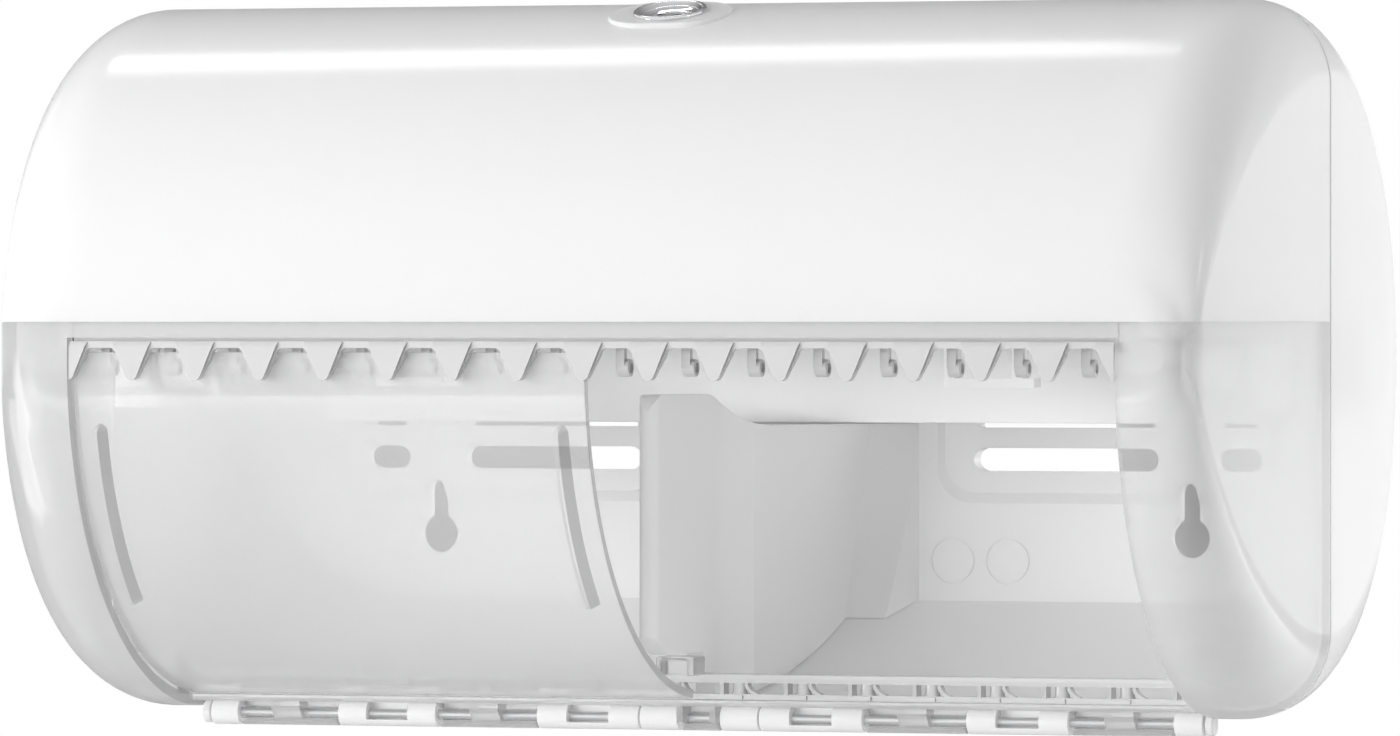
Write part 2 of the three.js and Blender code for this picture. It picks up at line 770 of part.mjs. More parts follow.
function catchPlate() {
  const half = catchWidth / 2;
  const front = seamDepth + catchSetback;
  const back = front + catchThickness;
  const ceiling = halfHeight - wallThickness;
  const low = camHeightAt(back) + catchGap;
  const foot = block(-half, half, front, front + catchFootLength, ceiling - 2 * catchThickness, bodyHeight);
  const flange = block(-half, half, front, back, low, ceiling);
  return joined(foot, flange).intersect(backRoom(backFront));
}

// Height of the door's inner face at a depth.
function doorFloorAt(depth) {
  const inset = doorFrontDepth + doorThickness;
  const share = (seamDepth - depth) / (seamDepth - inset);
  return -(halfHeight - inset) * Math.sqrt(1 - share ** 2);
}

// Side view of the divider: round front corner, sloping top, curved underside.
function dividerProfile() {
  const back = innerWallDepth;
  const ladderTop = ladderBarTop + 2 * clearance;
  const lowSpan = openingBackDepth - 2 * clearance - dividerFrontDepth;
  const points = [];
  for (let step = 0; step <= coverSteps; step++) {
    const depth = dividerFrontDepth + lowSpan * step / coverSteps;
    points.push([depth, Math.max(doorFloorAt(depth) + dividerFloorGap, ladderTop)]);
  }
  const rearTop = lipBottom - clearance;
  points.push([dividerFinDepth, ladderTop], [dividerFinDepth, -bodyHeight], [back, -bodyHeight]);
  points.push([back, rearTop], [back - lipReach - 2 * clearance, rearTop]);
  points.push([dividerSlopeDepth, dividerTop - dividerSlopeDrop], [seamDepth, dividerTop]);
  for (let step = 0; step <= cornerSteps; step++) {
    const angle = quarterTurn * step / cornerSteps;
    const depth = dividerFrontDepth + dividerFrontRound * (1 - Math.sin(angle));
    points.push([depth, dividerTop - dividerFrontRound * (1 - Math.cos(angle))]);
  }
  return points;
}

// Outline of the divider at a height, whose foot spreads on the wall side.
function dividerRing(z, footHalfWidth, toeHalfWidth, toeDepth) {
  const back = innerWallDepth;
  const half = dividerThickness / 2;
  const right = [[half, dividerFrontDepth]];
  for (let step = 0; step <= cornerSteps; step++) {
    const share = step / cornerSteps;
    const x = half + (dividerFilletHalfWidth - half) * share ** 2;
    right.push([x, dividerFinDepth + dividerFilletDepth * share]);
  }
  right.push([footHalfWidth, back - dividerFootDepth], [toeHalfWidth, toeDepth]);
  right.push([dividerBaseHalfWidth, back], [dividerBaseHalfWidth, bodyDepth]);
  const left = right.map(([x, depth]) => [-x, depth]).reverse();
  return [...right, ...left].map(([x, depth]) => [x, yAt(depth), z]);
}

// The fin that keeps the rolls apart, with a foot whose low toes stand out.
function centreDivider() {
  const back = innerWallDepth;
  const toeDepth = back - dividerFootDepth;
  const slope = (dividerToeTop - dividerToeBottom) / (lipBottom - dividerToeBottom);
  const footAtToeTop = dividerFootLowHalfWidth + (dividerFootTopHalfWidth - dividerFootLowHalfWidth) * slope;
  const thin = back - clearance / 2;
  const column = loft([
    dividerRing(-bodyHeight, dividerFootLowHalfWidth, dividerToeHalfWidth, toeDepth),
    dividerRing(dividerToeBottom, dividerFootLowHalfWidth, dividerToeHalfWidth, toeDepth),
    dividerRing(dividerToeTop, footAtToeTop, dividerBaseHalfWidth - clearance, thin),
    dividerRing(lipBottom, dividerFootTopHalfWidth, dividerBaseHalfWidth - clearance, thin),
    dividerRing(0, dividerFootTopHalfWidth, dividerBaseHalfWidth - clearance, thin),
  ]);
  const frontRoom = block(-bodyWidth, bodyWidth, 0, dividerFinDepth, -bodyHeight, bodyHeight);
  const room = joined(backRoom(seamDepth), frontRoom);
  return column.intersect(barAlongX(dividerProfile(), -halfWidth, halfWidth)).intersect(room);
}

// A bracket on the side wall of the back shell, with the spigot for the hub.
function hubBracket() {
  const near = hubInner + hubLength + 2 * clearance;
  const top = rollAxisZ + bracketHalfHeight;
  const bottom = rollAxisZ - bracketHalfHeight;
  const nose = rollAxisDepth - bracketNose;
  const chamfer = bracketHalfHeight / 2;
  const arm = barAlongX([
    [nose, rollAxisZ - chamfer], [nose, rollAxisZ + chamfer], [nose + chamfer, top],
    [bracketBackDepth, top], [bracketBackDepth, bottom], [nose + chamfer, bottom],
  ], near, near + bracketThickness);
  const foot = block(near, halfWidth, backFront + clearance, bracketBackDepth, bottom, top);
  const start = hubInner + hubFlangeThickness;
  const spigot = roundAlongX(spigotRadius, start, near + clearance, rollAxisDepth, rollAxisZ);
  return joined(arm, foot.intersect(backRoom(backFront)), spigot);
}

// The hub turns on the bracket's spigot.
function rollHub() {
  const far = hubInner + hubLength;
  const behind = hubInner + hubFlangeThickness;
  const flange = roundAlongX(hubFlangeRadius, hubInner, behind, rollAxisDepth, rollAxisZ);
  const barrel = roundAlongX(hubRadius, hubInner, far, rollAxisDepth, rollAxisZ);
  const boreRadius = spigotRadius + spigotClearance;
  const bore = roundAlongX(boreRadius, behind - clearance, far + overrun, rollAxisDepth, rollAxisZ);
  return cutBy(joined(flange, barrel), bore);
}

// A loop of two legs and a foot bar, on eyes round the brake pin.
function brakeLoop() {
  const outer = loopWidth / 2;
  const back = loopPivotDepth - clearance;
  const front = back - loopLegDepth;
  const shoulder = loopPivotZ - 2 * loopEyeRadius;
  const barEnd = loopX + outer + loopBarOverhang;
  const parts = [block(loopX - outer, barEnd, front, back, loopBottom, loopBottom + loopBarHeight)];
  for (const x0 of [loopX - outer, loopX + outer - loopLegWidth]) {
    const x1 = x0 + loopLegWidth;
    parts.push(barAlongX([
      [front, loopBottom], [back, loopBottom], [back, shoulder], [loopPivotDepth + loopEyeRadius, loopPivotZ],
      [loopPivotDepth - loopEyeRadius, loopPivotZ], [front, shoulder],
    ], x0, x1));
    parts.push(roundAlongX(loopEyeRadius, x0, x1, loopPivotDepth, loopPivotZ));
  }
  const end = outer + overrun;
  const holeRadius = brakePinRadius + brakePinClearance;
  const hole = roundAlongX(holeRadius, loopX - end, loopX + end, loopPivotDepth, loopPivotZ);
  return cutBy(joined(...parts), hole);
}

// Two ears under the top of the back shell, between the legs of the loop.
function brakeBracket() {
  const outer = loopWidth / 2 - loopLegWidth - earGap;
  const back = loopPivotDepth + loopEyeRadius;
  const roof = halfHeight - wallThickness - earRoofHeight;
  const parts = [block(loopX - outer, loopX + outer, backFront, back, roof, bodyHeight)];
  for (const x0 of [loopX - outer, loopX + outer - earThickness]) {
    const x1 = x0 + earThickness;
    parts.push(block(x0, x1, backFront, back, loopPivotZ, bodyHeight));
    parts.push(roundAlongX(loopEyeRadius - clearance, x0, x1, loopPivotDepth, loopPivotZ));
  }
  const end = outer + overrun;
  const holeRadius = brakePinRadius + clearance / 2;
  const hole = roundAlongX(holeRadius, loopX - end, loopX + end, loopPivotDepth, loopPivotZ);
  const frontRoom = block(-bodyWidth, bodyWidth, 0, backFront, -bodyHeight, roof);
  return cutBy(joined(...parts), hole).intersect(joined(backRoom(backFront), frontRoom));
}

function brakePin() {
  const half = loopWidth / 2 + clearance;
  return roundAlongX(brakePinRadius, loopX - half, loopX + half, loopPivotDepth, loopPivotZ);
}

// Makes the mesh of one piece.
function piece(name, solid, material) {
  const { vertProperties, triVerts } = solid.getMesh();
  const shape = new THREE.BufferGeometry();
  shape.setAttribute("position", new THREE.BufferAttribute(new Float32Array(vertProperties), 3));
  shape.setIndex(new THREE.BufferAttribute(new Uint32Array(triVerts), 1));
  shape.computeVertexNormals();
  const mesh = new THREE.Mesh(shape, material);
  mesh.name = name;
  return mesh;
}

// Adds a piece that the object has twice, once on each side.
function addPair(group, name, make, material) {
  group.add(piece(name + "_right", make(), material()));
  group.add(piece(name + "_left", mirrored(make()), material()));
}

const dispenser = new THREE.Group();

const backGroup = new THREE.Group();
backGroup.add(piece("back_shell", backShell(), whitePlastic()));
backGroup.add(piece("centre_divider", centreDivider(), innerPlastic()));
backGroup.add(piece("catch_plate", catchPlate(), steelMetal()));
backGroup.add(piece("hinge_rod", hingeRod(), steelMetal()));
addPair(backGroup, "rod_cap", rodCap, whitePlastic);
addPair(backGroup, "hub_bracket", hubBracket, innerPlastic);
addPair(backGroup, "roll_hub", rollHub, innerPlastic);
addPair(backGroup, "brake_bracket", brakeBracket, innerPlastic);
addPair(backGroup, "brake_pin", brakePin, steelMetal);
addPair(backGroup, "brake_loop", brakeLoop, innerPlastic);
dispenser.add(backGroup);

const coverGroup = new THREE.Group();
coverGroup.add(piece("cover_front", coverFront(), whitePlastic()));
coverGroup.add(piece("cover_window", coverWindow(), clearPlastic()));
coverGroup.add(piece("tear_bar", tearBar(), innerPlastic()));
coverGroup.add(piece("hook_rail", hookRail(), innerPlastic()));
addPair(coverGroup, "bar_end_cap", barEndCap, innerPlastic);
coverGroup.add(piece("lower_ladder", lowerLadder(), clearPlastic()));
coverGroup.add(piece("sliding_door", slidingDoor(), clearPlastic()));
coverGroup.add(piece("lock_barrel", lockBarrel(), chromeMetal()));
coverGroup.add(piece("lock_plug", lockPlug(), chromeMetal()));
coverGroup.add(piece("lock_nut", lockNut(), steelMetal()));
coverGroup.add(piece("lock_cam", lockCam(), steelMetal()));
coverGroup.add(piece("lock_cam_screw", camScrew(), steelMetal()));
dispenser.add(coverGroup);

export default dispenser;
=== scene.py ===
import math
from types import SimpleNamespace as Values

import bmesh
import bpy
from mathutils import Matrix, Vector


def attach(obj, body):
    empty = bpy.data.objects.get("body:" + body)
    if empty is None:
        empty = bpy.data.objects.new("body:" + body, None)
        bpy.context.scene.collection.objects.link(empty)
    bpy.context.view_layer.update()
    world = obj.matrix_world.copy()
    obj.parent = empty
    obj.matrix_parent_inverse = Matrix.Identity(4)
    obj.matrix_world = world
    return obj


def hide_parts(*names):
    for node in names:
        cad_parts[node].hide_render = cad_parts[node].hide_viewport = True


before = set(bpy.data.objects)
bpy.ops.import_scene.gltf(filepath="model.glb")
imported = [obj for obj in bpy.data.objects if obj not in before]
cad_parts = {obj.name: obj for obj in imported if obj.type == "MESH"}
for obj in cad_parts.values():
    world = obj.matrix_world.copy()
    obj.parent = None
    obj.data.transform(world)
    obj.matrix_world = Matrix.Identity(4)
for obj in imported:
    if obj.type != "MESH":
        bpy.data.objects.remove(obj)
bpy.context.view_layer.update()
scene = bpy.context.scene
scene.view_settings.view_transform = "Standard"
mm = 0.001

# camera, fitted to the photograph
view = Values(focal=10088.85, yaw=19.005, horizon=322, distance=2220.863, offset=0.216, aimY=-76,
              height=7.893, imageWidth=1400, imageHeight=736, sensor=36, clip=(0.05, 50))


def addCamera():
    yaw = math.radians(view.yaw)
    right = Vector((math.cos(yaw), math.sin(yaw), 0))
    ahead = Vector((-math.sin(yaw), math.cos(yaw), 0))
    place = view.offset * right - view.distance * ahead
    place += Vector((0, view.aimY, view.height))
    data = bpy.data.cameras.new("camera")
    data.sensor_width = view.sensor
    data.lens = view.focal * view.sensor / view.imageWidth
    data.shift_y = (view.horizon - view.imageHeight / 2) / view.imageWidth
    data.clip_start, data.clip_end = view.clip
    cam = bpy.data.objects.new("camera", data)
    scene.collection.objects.link(cam)
    turn = Matrix((right, Vector((0, 0, 1)), -ahead)).transposed().to_4x4()
    cam.matrix_world = Matrix.Translation(place * mm) @ turn
    scene.camera = cam


addCamera()
print("camera done")


class Socket:
    def __init__(self, tree, link):
        self.tree, self.link = tree, link

    def math(self, kind, other, swapped=False):
        first, second = (other, self) if swapped else (self, other)
        return self.tree.node("ShaderNodeMath", {"operation": kind}, {0: first, 1: second})

    def __add__(self, other):
        return self.math("ADD", other)

    def __radd__(self, other):
        return self.math("ADD", other, True)

    def __sub__(self, other):
        return self.math("SUBTRACT", other)

    def __rsub__(self, other):
        return self.math("SUBTRACT", other, True)

    def __mul__(self, other):
        return self.math("MULTIPLY", other)

    def __rmul__(self, other):
        return self.math("MULTIPLY", other, True)

    def __truediv__(self, other):
        return self.math("DIVIDE", other)

    def __rtruediv__(self, other):
        return self.math("DIVIDE", other, True)

    def __pow__(self, other):
        return self.math("POWER", other)

    def __rpow__(self, other):
        return self.math("POWER", other, True)

    def __gt__(self, other):
        return self.math("GREATER_THAN", other)

    def __lt__(self, other):
        return self.math("LESS_THAN", other)

    def __abs__(self):
        return self.math("ABSOLUTE", 0)


colourA, colourB, colourOut = 6, 7, 2  # sockets of a Mix node that mixes colours


class Shader:
    def __init__(self, name, world=None):
        if world:
            world.use_nodes = True
            self.nodes, self.links = world.node_tree.nodes, world.node_tree.links
        else:
            self.material = bpy.data.materials.new(name)
            self.material.use_nodes = True
            self.nodes, self.links = self.material.node_tree.nodes, self.material.node_tree.links
        self.nodes.clear()

    def node(self, kind, settings=None, inputs=None, output=0):
        made = self.nodes.new(kind)
        for key, value in (settings or {}).items():
            if key == "stops":
                ramp = made.color_ramp
                for i, (place, tone) in enumerate(value):
                    stop = ramp.elements[i] if i < 2 else ramp.elements.new(place)
                    stop.position, stop.color = place, (tone, tone, tone, 1)
            else:
                setattr(made, key, value)
        for key, value in (inputs or {}).items():
            if isinstance(value, Socket):
                self.links.new(value.link, made.inputs[key])
            else:
                made.inputs[key].default_value = value
        return Socket(self, made.outputs[output]) if made.outputs else None

    def place(self):
        return self.node("ShaderNodeTexCoord", output="Object")

    def axis(self, vector, index):
        return self.node("ShaderNodeSeparateXYZ", inputs={0: vector}, output=index)

    def noise(self, scale, detail):
        return self.node("ShaderNodeTexNoise", inputs={
            "Vector": self.place(), "Scale": scale, "Detail": detail})

    def blend(self, amount, first, second):
        return self.node("ShaderNodeMix", {"data_type": "RGBA"}, {
            "Factor": amount, colourA: first, colourB: second}, output=colourOut)

    def tint(self, amount, first, second):
        return self.blend(amount, (*first, 1), (*second, 1))

    def bump(self, height, strength, distance):
        return self.node("ShaderNodeBump", inputs={
            "Height": height, "Strength": strength, "Distance": distance})

    def mixShader(self, amount, first, second):
        return self.node("ShaderNodeMixShader", inputs={0: amount, 1: first, 2: second})

    def finish(self, surface):
        self.node("ShaderNodeOutputMaterial", inputs={"Surface": surface})
        return self.material


finishes = {
    "shell": {"tone": (0.925, 0.925, 0.925), "shade": (0.91, 0.91, 0.913), "rough": 0.16, "coat": 0.05,
              "passes": 0.32},
    "inner": {"tone": (0.95, 0.95, 0.95), "shade": (0.935, 0.935, 0.937), "rough": 0.38, "coat": 0.0,
              "passes": 0.3},
    "teeth": {"tone": (0.58, 0.58, 0.58), "shade": (0.55, 0.55, 0.553), "rough": 0.3, "coat": 0.0,
              "passes": 0.0},
    # in the clear finishes, paintedShadeTone is the dark colour of painted shade on sideways faces and on
    # the bend, edgeVeil their denser look
    "smoke": {"tone": (0.79, 0.79, 0.792), "shade": (0.77, 0.77, 0.773), "rough": 0.3, "veil": 0.34,
              "rim": 0.9, "rimPower": 2, "edgeVeil": 0.75, "paintedShadeTone": 0.4, "edgePower": 2, "paintedBendShade": 0.45,
              "tintThrough": (0.97, 0.97, 0.973), "gloss": 0.05, "passes": 0.12},
    "haze": {"tone": (0.91, 0.91, 0.912), "shade": (0.895, 0.895, 0.897), "rough": 0.3, "veil": 0.36,
             "rim": 0.7, "rimPower": 3, "edgeVeil": 0.85, "paintedShadeTone": 0.12, "edgePower": 1.2, "paintedBendShade": 0,
             "tintThrough": (0.97, 0.97, 0.973), "gloss": 0.05, "passes": 0.3},
    "rail": {"tone": (0.86, 0.86, 0.862), "shade": (0.82, 0.82, 0.823), "rough": 0.22, "veil": 0.5,
             "rim": 0.85, "rimPower": 2, "edgeVeil": 0.85, "paintedShadeTone": 0.3, "edgePower": 2, "paintedBendShade": 0,
             "tintThrough": (0.95, 0.95, 0.953), "gloss": 0.12, "passes": 0.1},
    # painted shadow: the dark tone of the strip in the groove behind the seam
    "seamShadow": {"tone": (0.30, 0.30, 0.302), "shade": (0.27, 0.27, 0.273), "rough": 0.6, "coat": 0.0,
              "passes": 0.0},
    "chrome": {"tone": (0.80, 0.80, 0.81), "shade": (0.74, 0.74, 0.755), "rough": 0.07},
    "steel": {"tone": (0.68, 0.68, 0.69), "shade": (0.60, 0.60, 0.615), "rough": 0.28},
    "rod": {"tone": (0.90, 0.90, 0.905), "shade": (0.84, 0.84, 0.85), "rough": 0.4},
}

# what the finishes of one kind share: how fine their patterns are and how much these vary the surface
plastic = Values(cloud=9, cloudDetail=4, grain=900, skin=160, fineDetail=2, skinShare=0.7,
                 grainShare=0.3, roughSpread=0.06, coatRough=0.04, ior=1.49, bump=0.06,
                 bumpHeight=0.0002)
# the clear finishes' bend values place the painted shade on the bend between front and cheek
clear = Values(cloud=14, cloudDetail=3, ripple=45, rippleDetail=2, bump=0.05, bumpHeight=0.0004,
               facingBlend=0.5, cheek=0.122, bendEnd=-0.075, bendPower=3, roughSpread=0.03, ior=1.5,
               shineRough=0.05, glintRise=0.4, glintPower=4)
metal = Values(cloud=60, cloudDetail=4, brushed=700, brushedDetail=2, roughLeast=0.85, roughSpread=0.3,
               bump=0.04, bumpHeight=0.0001)


def plasticFinish(name, values):
    s = Shader(name)
    cloud = s.noise(plastic.cloud, plastic.cloudDetail)
    grain = s.noise(plastic.grain, plastic.fineDetail)
    skin = s.noise(plastic.skin, plastic.fineDetail)
    height = skin * plastic.skinShare + grain * plastic.grainShare
    surface = s.node("ShaderNodeBsdfPrincipled", inputs={
        "Base Color": s.tint(cloud, values["tone"], values["shade"]),
        "Roughness": values["rough"] + plastic.roughSpread * (cloud - 0.5),
        "Coat Weight": values["coat"], "Coat Roughness": plastic.coatRough, "IOR": plastic.ior,
        "Normal": s.bump(height, plastic.bump, plastic.bumpHeight)})
    if values["passes"]:
        glow = s.node("ShaderNodeBsdfTranslucent", inputs={"Color": (*values["tone"], 1)})
        surface = s.mixShader(values["passes"], surface, glow)
    return s.finish(surface)


def clearFinish(name, values):
    s = Shader(name)
    cloud = s.noise(clear.cloud, clear.cloudDetail)
    ripple = s.noise(clear.ripple, clear.rippleDetail)
    normal = s.bump(ripple, clear.bump, clear.bumpHeight)
    facing = s.node("ShaderNodeLayerWeight", inputs={"Blend": clear.facingBlend}, output="Facing")
    faceNormal = s.node("ShaderNodeTexCoord", output="Normal")
    sideways, frontwards = s.axis(faceNormal, 0), s.axis(faceNormal, 1)
    objectPlace = s.place()
    across, towardWall = s.axis(objectPlace, 0), s.axis(objectPlace, 1)
    # cut edges and rib flanks face to the side, between the cheeks: they look denser, and their colour is
    # darkened as painted shade
    inCheek = abs(across) > clear.cheek
    edgeDensityAndShade = abs(sideways) ** values["edgePower"] * (1 - inCheek)
    # painted shade: the bend between front and cheek is darkened, standing in for the shade that falls on
    # it
    ahead = 1 - (towardWall > clear.bendEnd)
    paintedBendShade = (2 * abs(sideways * frontwards)) ** clear.bendPower * inCheek * ahead
    moulded = s.tint(cloud, values["tone"], values["shade"])
    # painted shade: the colour of sideways faces and of the bend is mixed towards a dark tone
    colour = s.blend(edgeDensityAndShade + values["paintedBendShade"] * paintedBendShade, moulded, (*(values["paintedShadeTone"],) * 3, 1))
    body = s.node("ShaderNodeBsdfPrincipled", inputs={
        "Base Color": colour, "Roughness": values["rough"] + clear.roughSpread * (cloud - 0.5),
        "IOR": clear.ior, "Normal": normal})
    glow = s.node("ShaderNodeBsdfTranslucent", inputs={"Color": (*values["tone"], 1), "Normal": normal})
    body = s.mixShader(values["passes"], body, glow)
    through = s.node("ShaderNodeBsdfTransparent", inputs={"Color": (*values["tintThrough"], 1)})
    veil = values["veil"] + (values["rim"] - values["veil"]) * facing ** values["rimPower"]
    veil = veil + (values["edgeVeil"] - veil) * edgeDensityAndShade
    hazy = s.mixShader(veil, through, body)
    shine = s.node("ShaderNodeBsdfGlossy", inputs={"Roughness": clear.shineRough, "Normal": normal})
    glint = values["gloss"] + clear.glintRise * facing ** clear.glintPower
    return s.finish(s.mixShader(glint, hazy, shine))


def metalFinish(name, values):
    s = Shader(name)
    cloud = s.noise(metal.cloud, metal.cloudDetail)
    brushed = s.noise(metal.brushed, metal.brushedDetail)
    surface = s.node("ShaderNodeBsdfPrincipled", inputs={
        "Base Color": s.tint(cloud, values["tone"], values["shade"]), "Metallic": 1.0,
        "Roughness": values["rough"] * (metal.roughLeast + metal.roughSpread * cloud),
        "Normal": s.bump(brushed, metal.bump, metal.bumpHeight)})
    return s.finish(surface)


materials = {
    "shell": plasticFinish("glossyWhiteShell", finishes["shell"]),
    "inner": plasticFinish("satinInner", finishes["inner"]),
    "teeth": plasticFinish("toothRow", finishes["teeth"]),
    # painted shadow for the strip in the seam's groove
    "seamShadow": plasticFinish("paintedSeamShadow", finishes["seamShadow"]),
    "smoke": clearFinish("smokyClear", finishes["smoke"]),
    "haze": clearFinish("hazyClear", finishes["haze"]),
    "rail": clearFinish("railClear", finishes["rail"]),
    "chrome": metalFinish("polishedChrome", finishes["chrome"]),
    "steel": metalFinish("zincSteel", finishes["steel"]),
    "rod": metalFinish("paleRod", finishes["rod"]),
}
print("materials done")


wallFace = 153  # depth from the front of the cover, in millimetres
# angles over which an edge is rounded or kept sharp
edges = Values(roundAngle=50, softAngle=35, weight=60)
beyond = Values(x=200, near=-20, far=170, z=120)  # past every side of the object


def at(x, depth, z):
    return Vector((x, depth - wallFace, z)) * mm


def meshObject(name, bm):
    mesh = bpy.data.meshes.new(name)
    bmesh.ops.recalc_face_normals(bm, faces=bm.faces[:])
    bm.to_mesh(mesh)
    bm.free()
    made = bpy.data.objects.new(name, mesh)
    scene.collection.objects.link(made)
    return made


def addModifier(piece, kind, **settings):
    modifier = piece.modifiers.new(kind.lower(), kind)
    for key, value in settings.items():
        setattr(modifier, key, value)
    return modifier


def applyAll(piece):
    bpy.context.view_layer.update()
    graph = bpy.context.evaluated_depsgraph_get()
    mesh = bpy.data.meshes.new_from_object(piece.evaluated_get(graph))
    old = piece.data
    piece.modifiers.clear()
    piece.data = mesh
    mesh.name = piece.name
    bpy.data.meshes.remove(old)
    return piece


def cutWith(piece, cutter, kind="DIFFERENCE"):
    addModifier(piece, "BOOLEAN", operation=kind, object=cutter, solver="EXACT")
    applyAll(piece)
    bpy.data.objects.remove(cutter)
    return piece


def unite(piece, *parts):
    for part in parts:
        cutWith(piece, part, "UNION")
    return piece


def roundEdges(piece, width, segments=3):
    addModifier(piece, "BEVEL", width=width * mm, segments=segments, limit_method="ANGLE",
                angle_limit=math.radians(edges.roundAngle), use_clamp_overlap=True)
    return applyAll(piece)


def soften(piece, width, segments=2, angle=edges.softAngle):
    if width:
        addModifier(piece, "BEVEL", width=width * mm, segments=segments, limit_method="ANGLE",
                    angle_limit=math.radians(angle), use_clamp_overlap=True, miter_outer="MITER_ARC")
        applyAll(piece)
    piece.data.shade_smooth()
    piece.data.set_sharp_from_angle(angle=math.radians(angle))
    addModifier(piece, "WEIGHTED_NORMAL", keep_sharp=True, weight=edges.weight)
    return applyAll(piece)


def dress(piece, finish, bodyName, *nodes):
    piece.data.materials.clear()
    piece.data.materials.append(materials[finish])
    piece.visible_shadow = finish not in ("smoke", "haze", "rail")  # clear plastic casts no shadow
    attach(piece, bodyName)
    if nodes:
        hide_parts(*nodes)
    return piece


def boxObject(name, x, depth, z):
    bm = bmesh.new()
    bmesh.ops.create_cube(bm, size=1)
    low, high = at(x[0], depth[0], z[0]), at(x[1], depth[1], z[1])
    for v in bm.verts:
        v.co = Vector(low[i] if v.co[i] < 0 else high[i] for i in range(3))
    return meshObject(name, bm)


def addBand(bm, a, b):
    for i in range(len(a)):
        j = (i + 1) % len(a)
        bm.faces.new((a[i], a[j], b[j], b[i]))


def skin(name, rings, closeStart=True, closeEnd=True):
    bm = bmesh.new()
    rows = [[bm.verts.new(p) for p in ring] for ring in rings]
    for a, b in zip(rows, rows[1:]):
        addBand(bm, a, b)
    if closeStart:
        bm.faces.new(rows[0])
    if closeEnd:
        bm.faces.new(rows[-1][::-1])
    return meshObject(name, bm)


def onCircle(x, y, radius, angle):
    return x + radius * math.cos(angle), y + radius * math.sin(angle)


def fullTurn(steps):
    return [2 * math.pi * i / steps for i in range(steps)]


def quarterTurn(steps):
    return [math.pi / 2 * i / steps for i in range(steps + 1)]


def prismX(name, outline, x0, x1):
    rings = [[at(x, depth, z) for depth, z in outline] for x in (x0, x1)]
    return skin(name, rings)


def roundX(name, radius, x0, x1, depth, z, steps=48):
    return prismX(name, [onCircle(depth, z, radius, angle) for angle in fullTurn(steps)], x0, x1)


def joinPieces(name, pieces):
    bm = bmesh.new()
    for piece in pieces:
        bm.from_mesh(piece.data)
    for piece in pieces:
        bpy.data.objects.remove(piece)
    return meshObject(name, bm)


# forms of the two shells, in millimetres
# the seam values also place the painted shadow strip in the groove
form = Values(halfWidth=143, halfHeight=78, seam=80, gap=0.15, wall=2.5, backWall=3, corner=19,
              cornerLimit=0.96, narrowing=9.2, edgeRound=5.8, bow=1.56, faceHalfHeight=56,
              faceNarrowing=4.8, faceCorner=49.5, narrowPower=3.4, cornerPower=1.72, clearTop=7.9,
              startAngle=1.6, coverSteps=64, backSteps=40, arcSteps=16, spanSteps=10, seamWidth=0.85,
              seamDepth=1.9, seamEase=0.02, linerSunk=0.45, linerPlay=0.1, linerRound=0.1,
              openingHalf=118.4, openingFront=-10, openingBack=73, openingTop=4.5, clearLow=-76.6,
              underside=(60, 90), whiteRound=0.25, clearRound=0.3)


def roundedRing(halfX, halfZ, corner, depth):
    radius = min(corner, halfZ * form.cornerLimit, halfX * form.cornerLimit)
    ring = []
    for quarter, (sx, sz) in enumerate(((1, 1), (-1, 1), (-1, -1), (1, -1))):
        for step in range(form.arcSteps + 1):
            angle = (quarter + step / form.arcSteps) * math.pi / 2
            ring.append(onCircle(sx * (halfX - radius), sz * (halfZ - radius), radius, angle))
        if quarter in (0, 2):
            start = sx * (halfX - radius)
            for step in range(1, form.spanSteps):
                share = step / form.spanSteps
                ring.append((start * (1 - 2 * share), sz * halfZ))
    return [at(x, depth, z) for x, z in ring]


def outlineRing(inset, depth):
    return roundedRing(form.halfWidth - inset, form.halfHeight - inset, form.corner - inset, depth)


def coverHalfWidth(depth):
    share = max(0, 1 - depth / form.seam)
    bow = 1 - (1 - share ** form.bow) ** (1 / form.bow)
    left = max(0, form.edgeRound - depth)
    edge = form.edgeRound - math.sqrt(form.edgeRound ** 2 - left ** 2)
    return form.halfWidth - form.narrowing * bow - edge


def coverRings(inset, backDepth):
    seam, steps = form.seam, form.coverSteps
    start = math.radians(form.startAngle)
    rings = []
    for step in range(steps + 1):
        angle = start + (math.pi / 2 - start) * (step / steps)
        outerDepth = seam * (1 - math.cos(angle))
        depth = seam - (seam - inset) * math.cos(angle) if step < steps else backDepth
        halfZ = (form.halfHeight - inset) * math.sin(angle)
        rings.append(roundedRing(coverHalfWidth(outerDepth) - inset, halfZ, form.corner - inset, depth))
    return rings


def backRings(inset, frontDepth, backDepth):
    span = wallFace - form.seam
    reach = span / math.sqrt(1 - (form.faceHalfHeight / form.halfHeight) ** 2) - inset
    endAngle = math.asin((backDepth - form.seam) / reach)
    rings = []
    for step in range(form.backSteps + 1):
        angle = endAngle * step / form.backSteps
        depth = form.seam + reach * math.sin(angle)
        share = (depth - form.seam) / span
        halfX = form.halfWidth - form.faceNarrowing * share ** form.narrowPower - inset
        corner = form.corner - inset + (form.faceCorner - form.corner) * share ** form.cornerPower
        rings.append(roundedRing(halfX, (form.halfHeight - inset) * math.cos(angle), corner,
                                 depth if step else frontDepth))
    if not inset:
        # a narrow groove behind the seam shows as its dark line, with a painted shadow strip laid in it
        depth, end = form.seamDepth, frontDepth + form.seamWidth
        sunk = [outlineRing(depth, place) for place in (frontDepth, end)]
        rings[:1] = sunk + [outlineRing(0, end + form.seamEase)]
    return rings


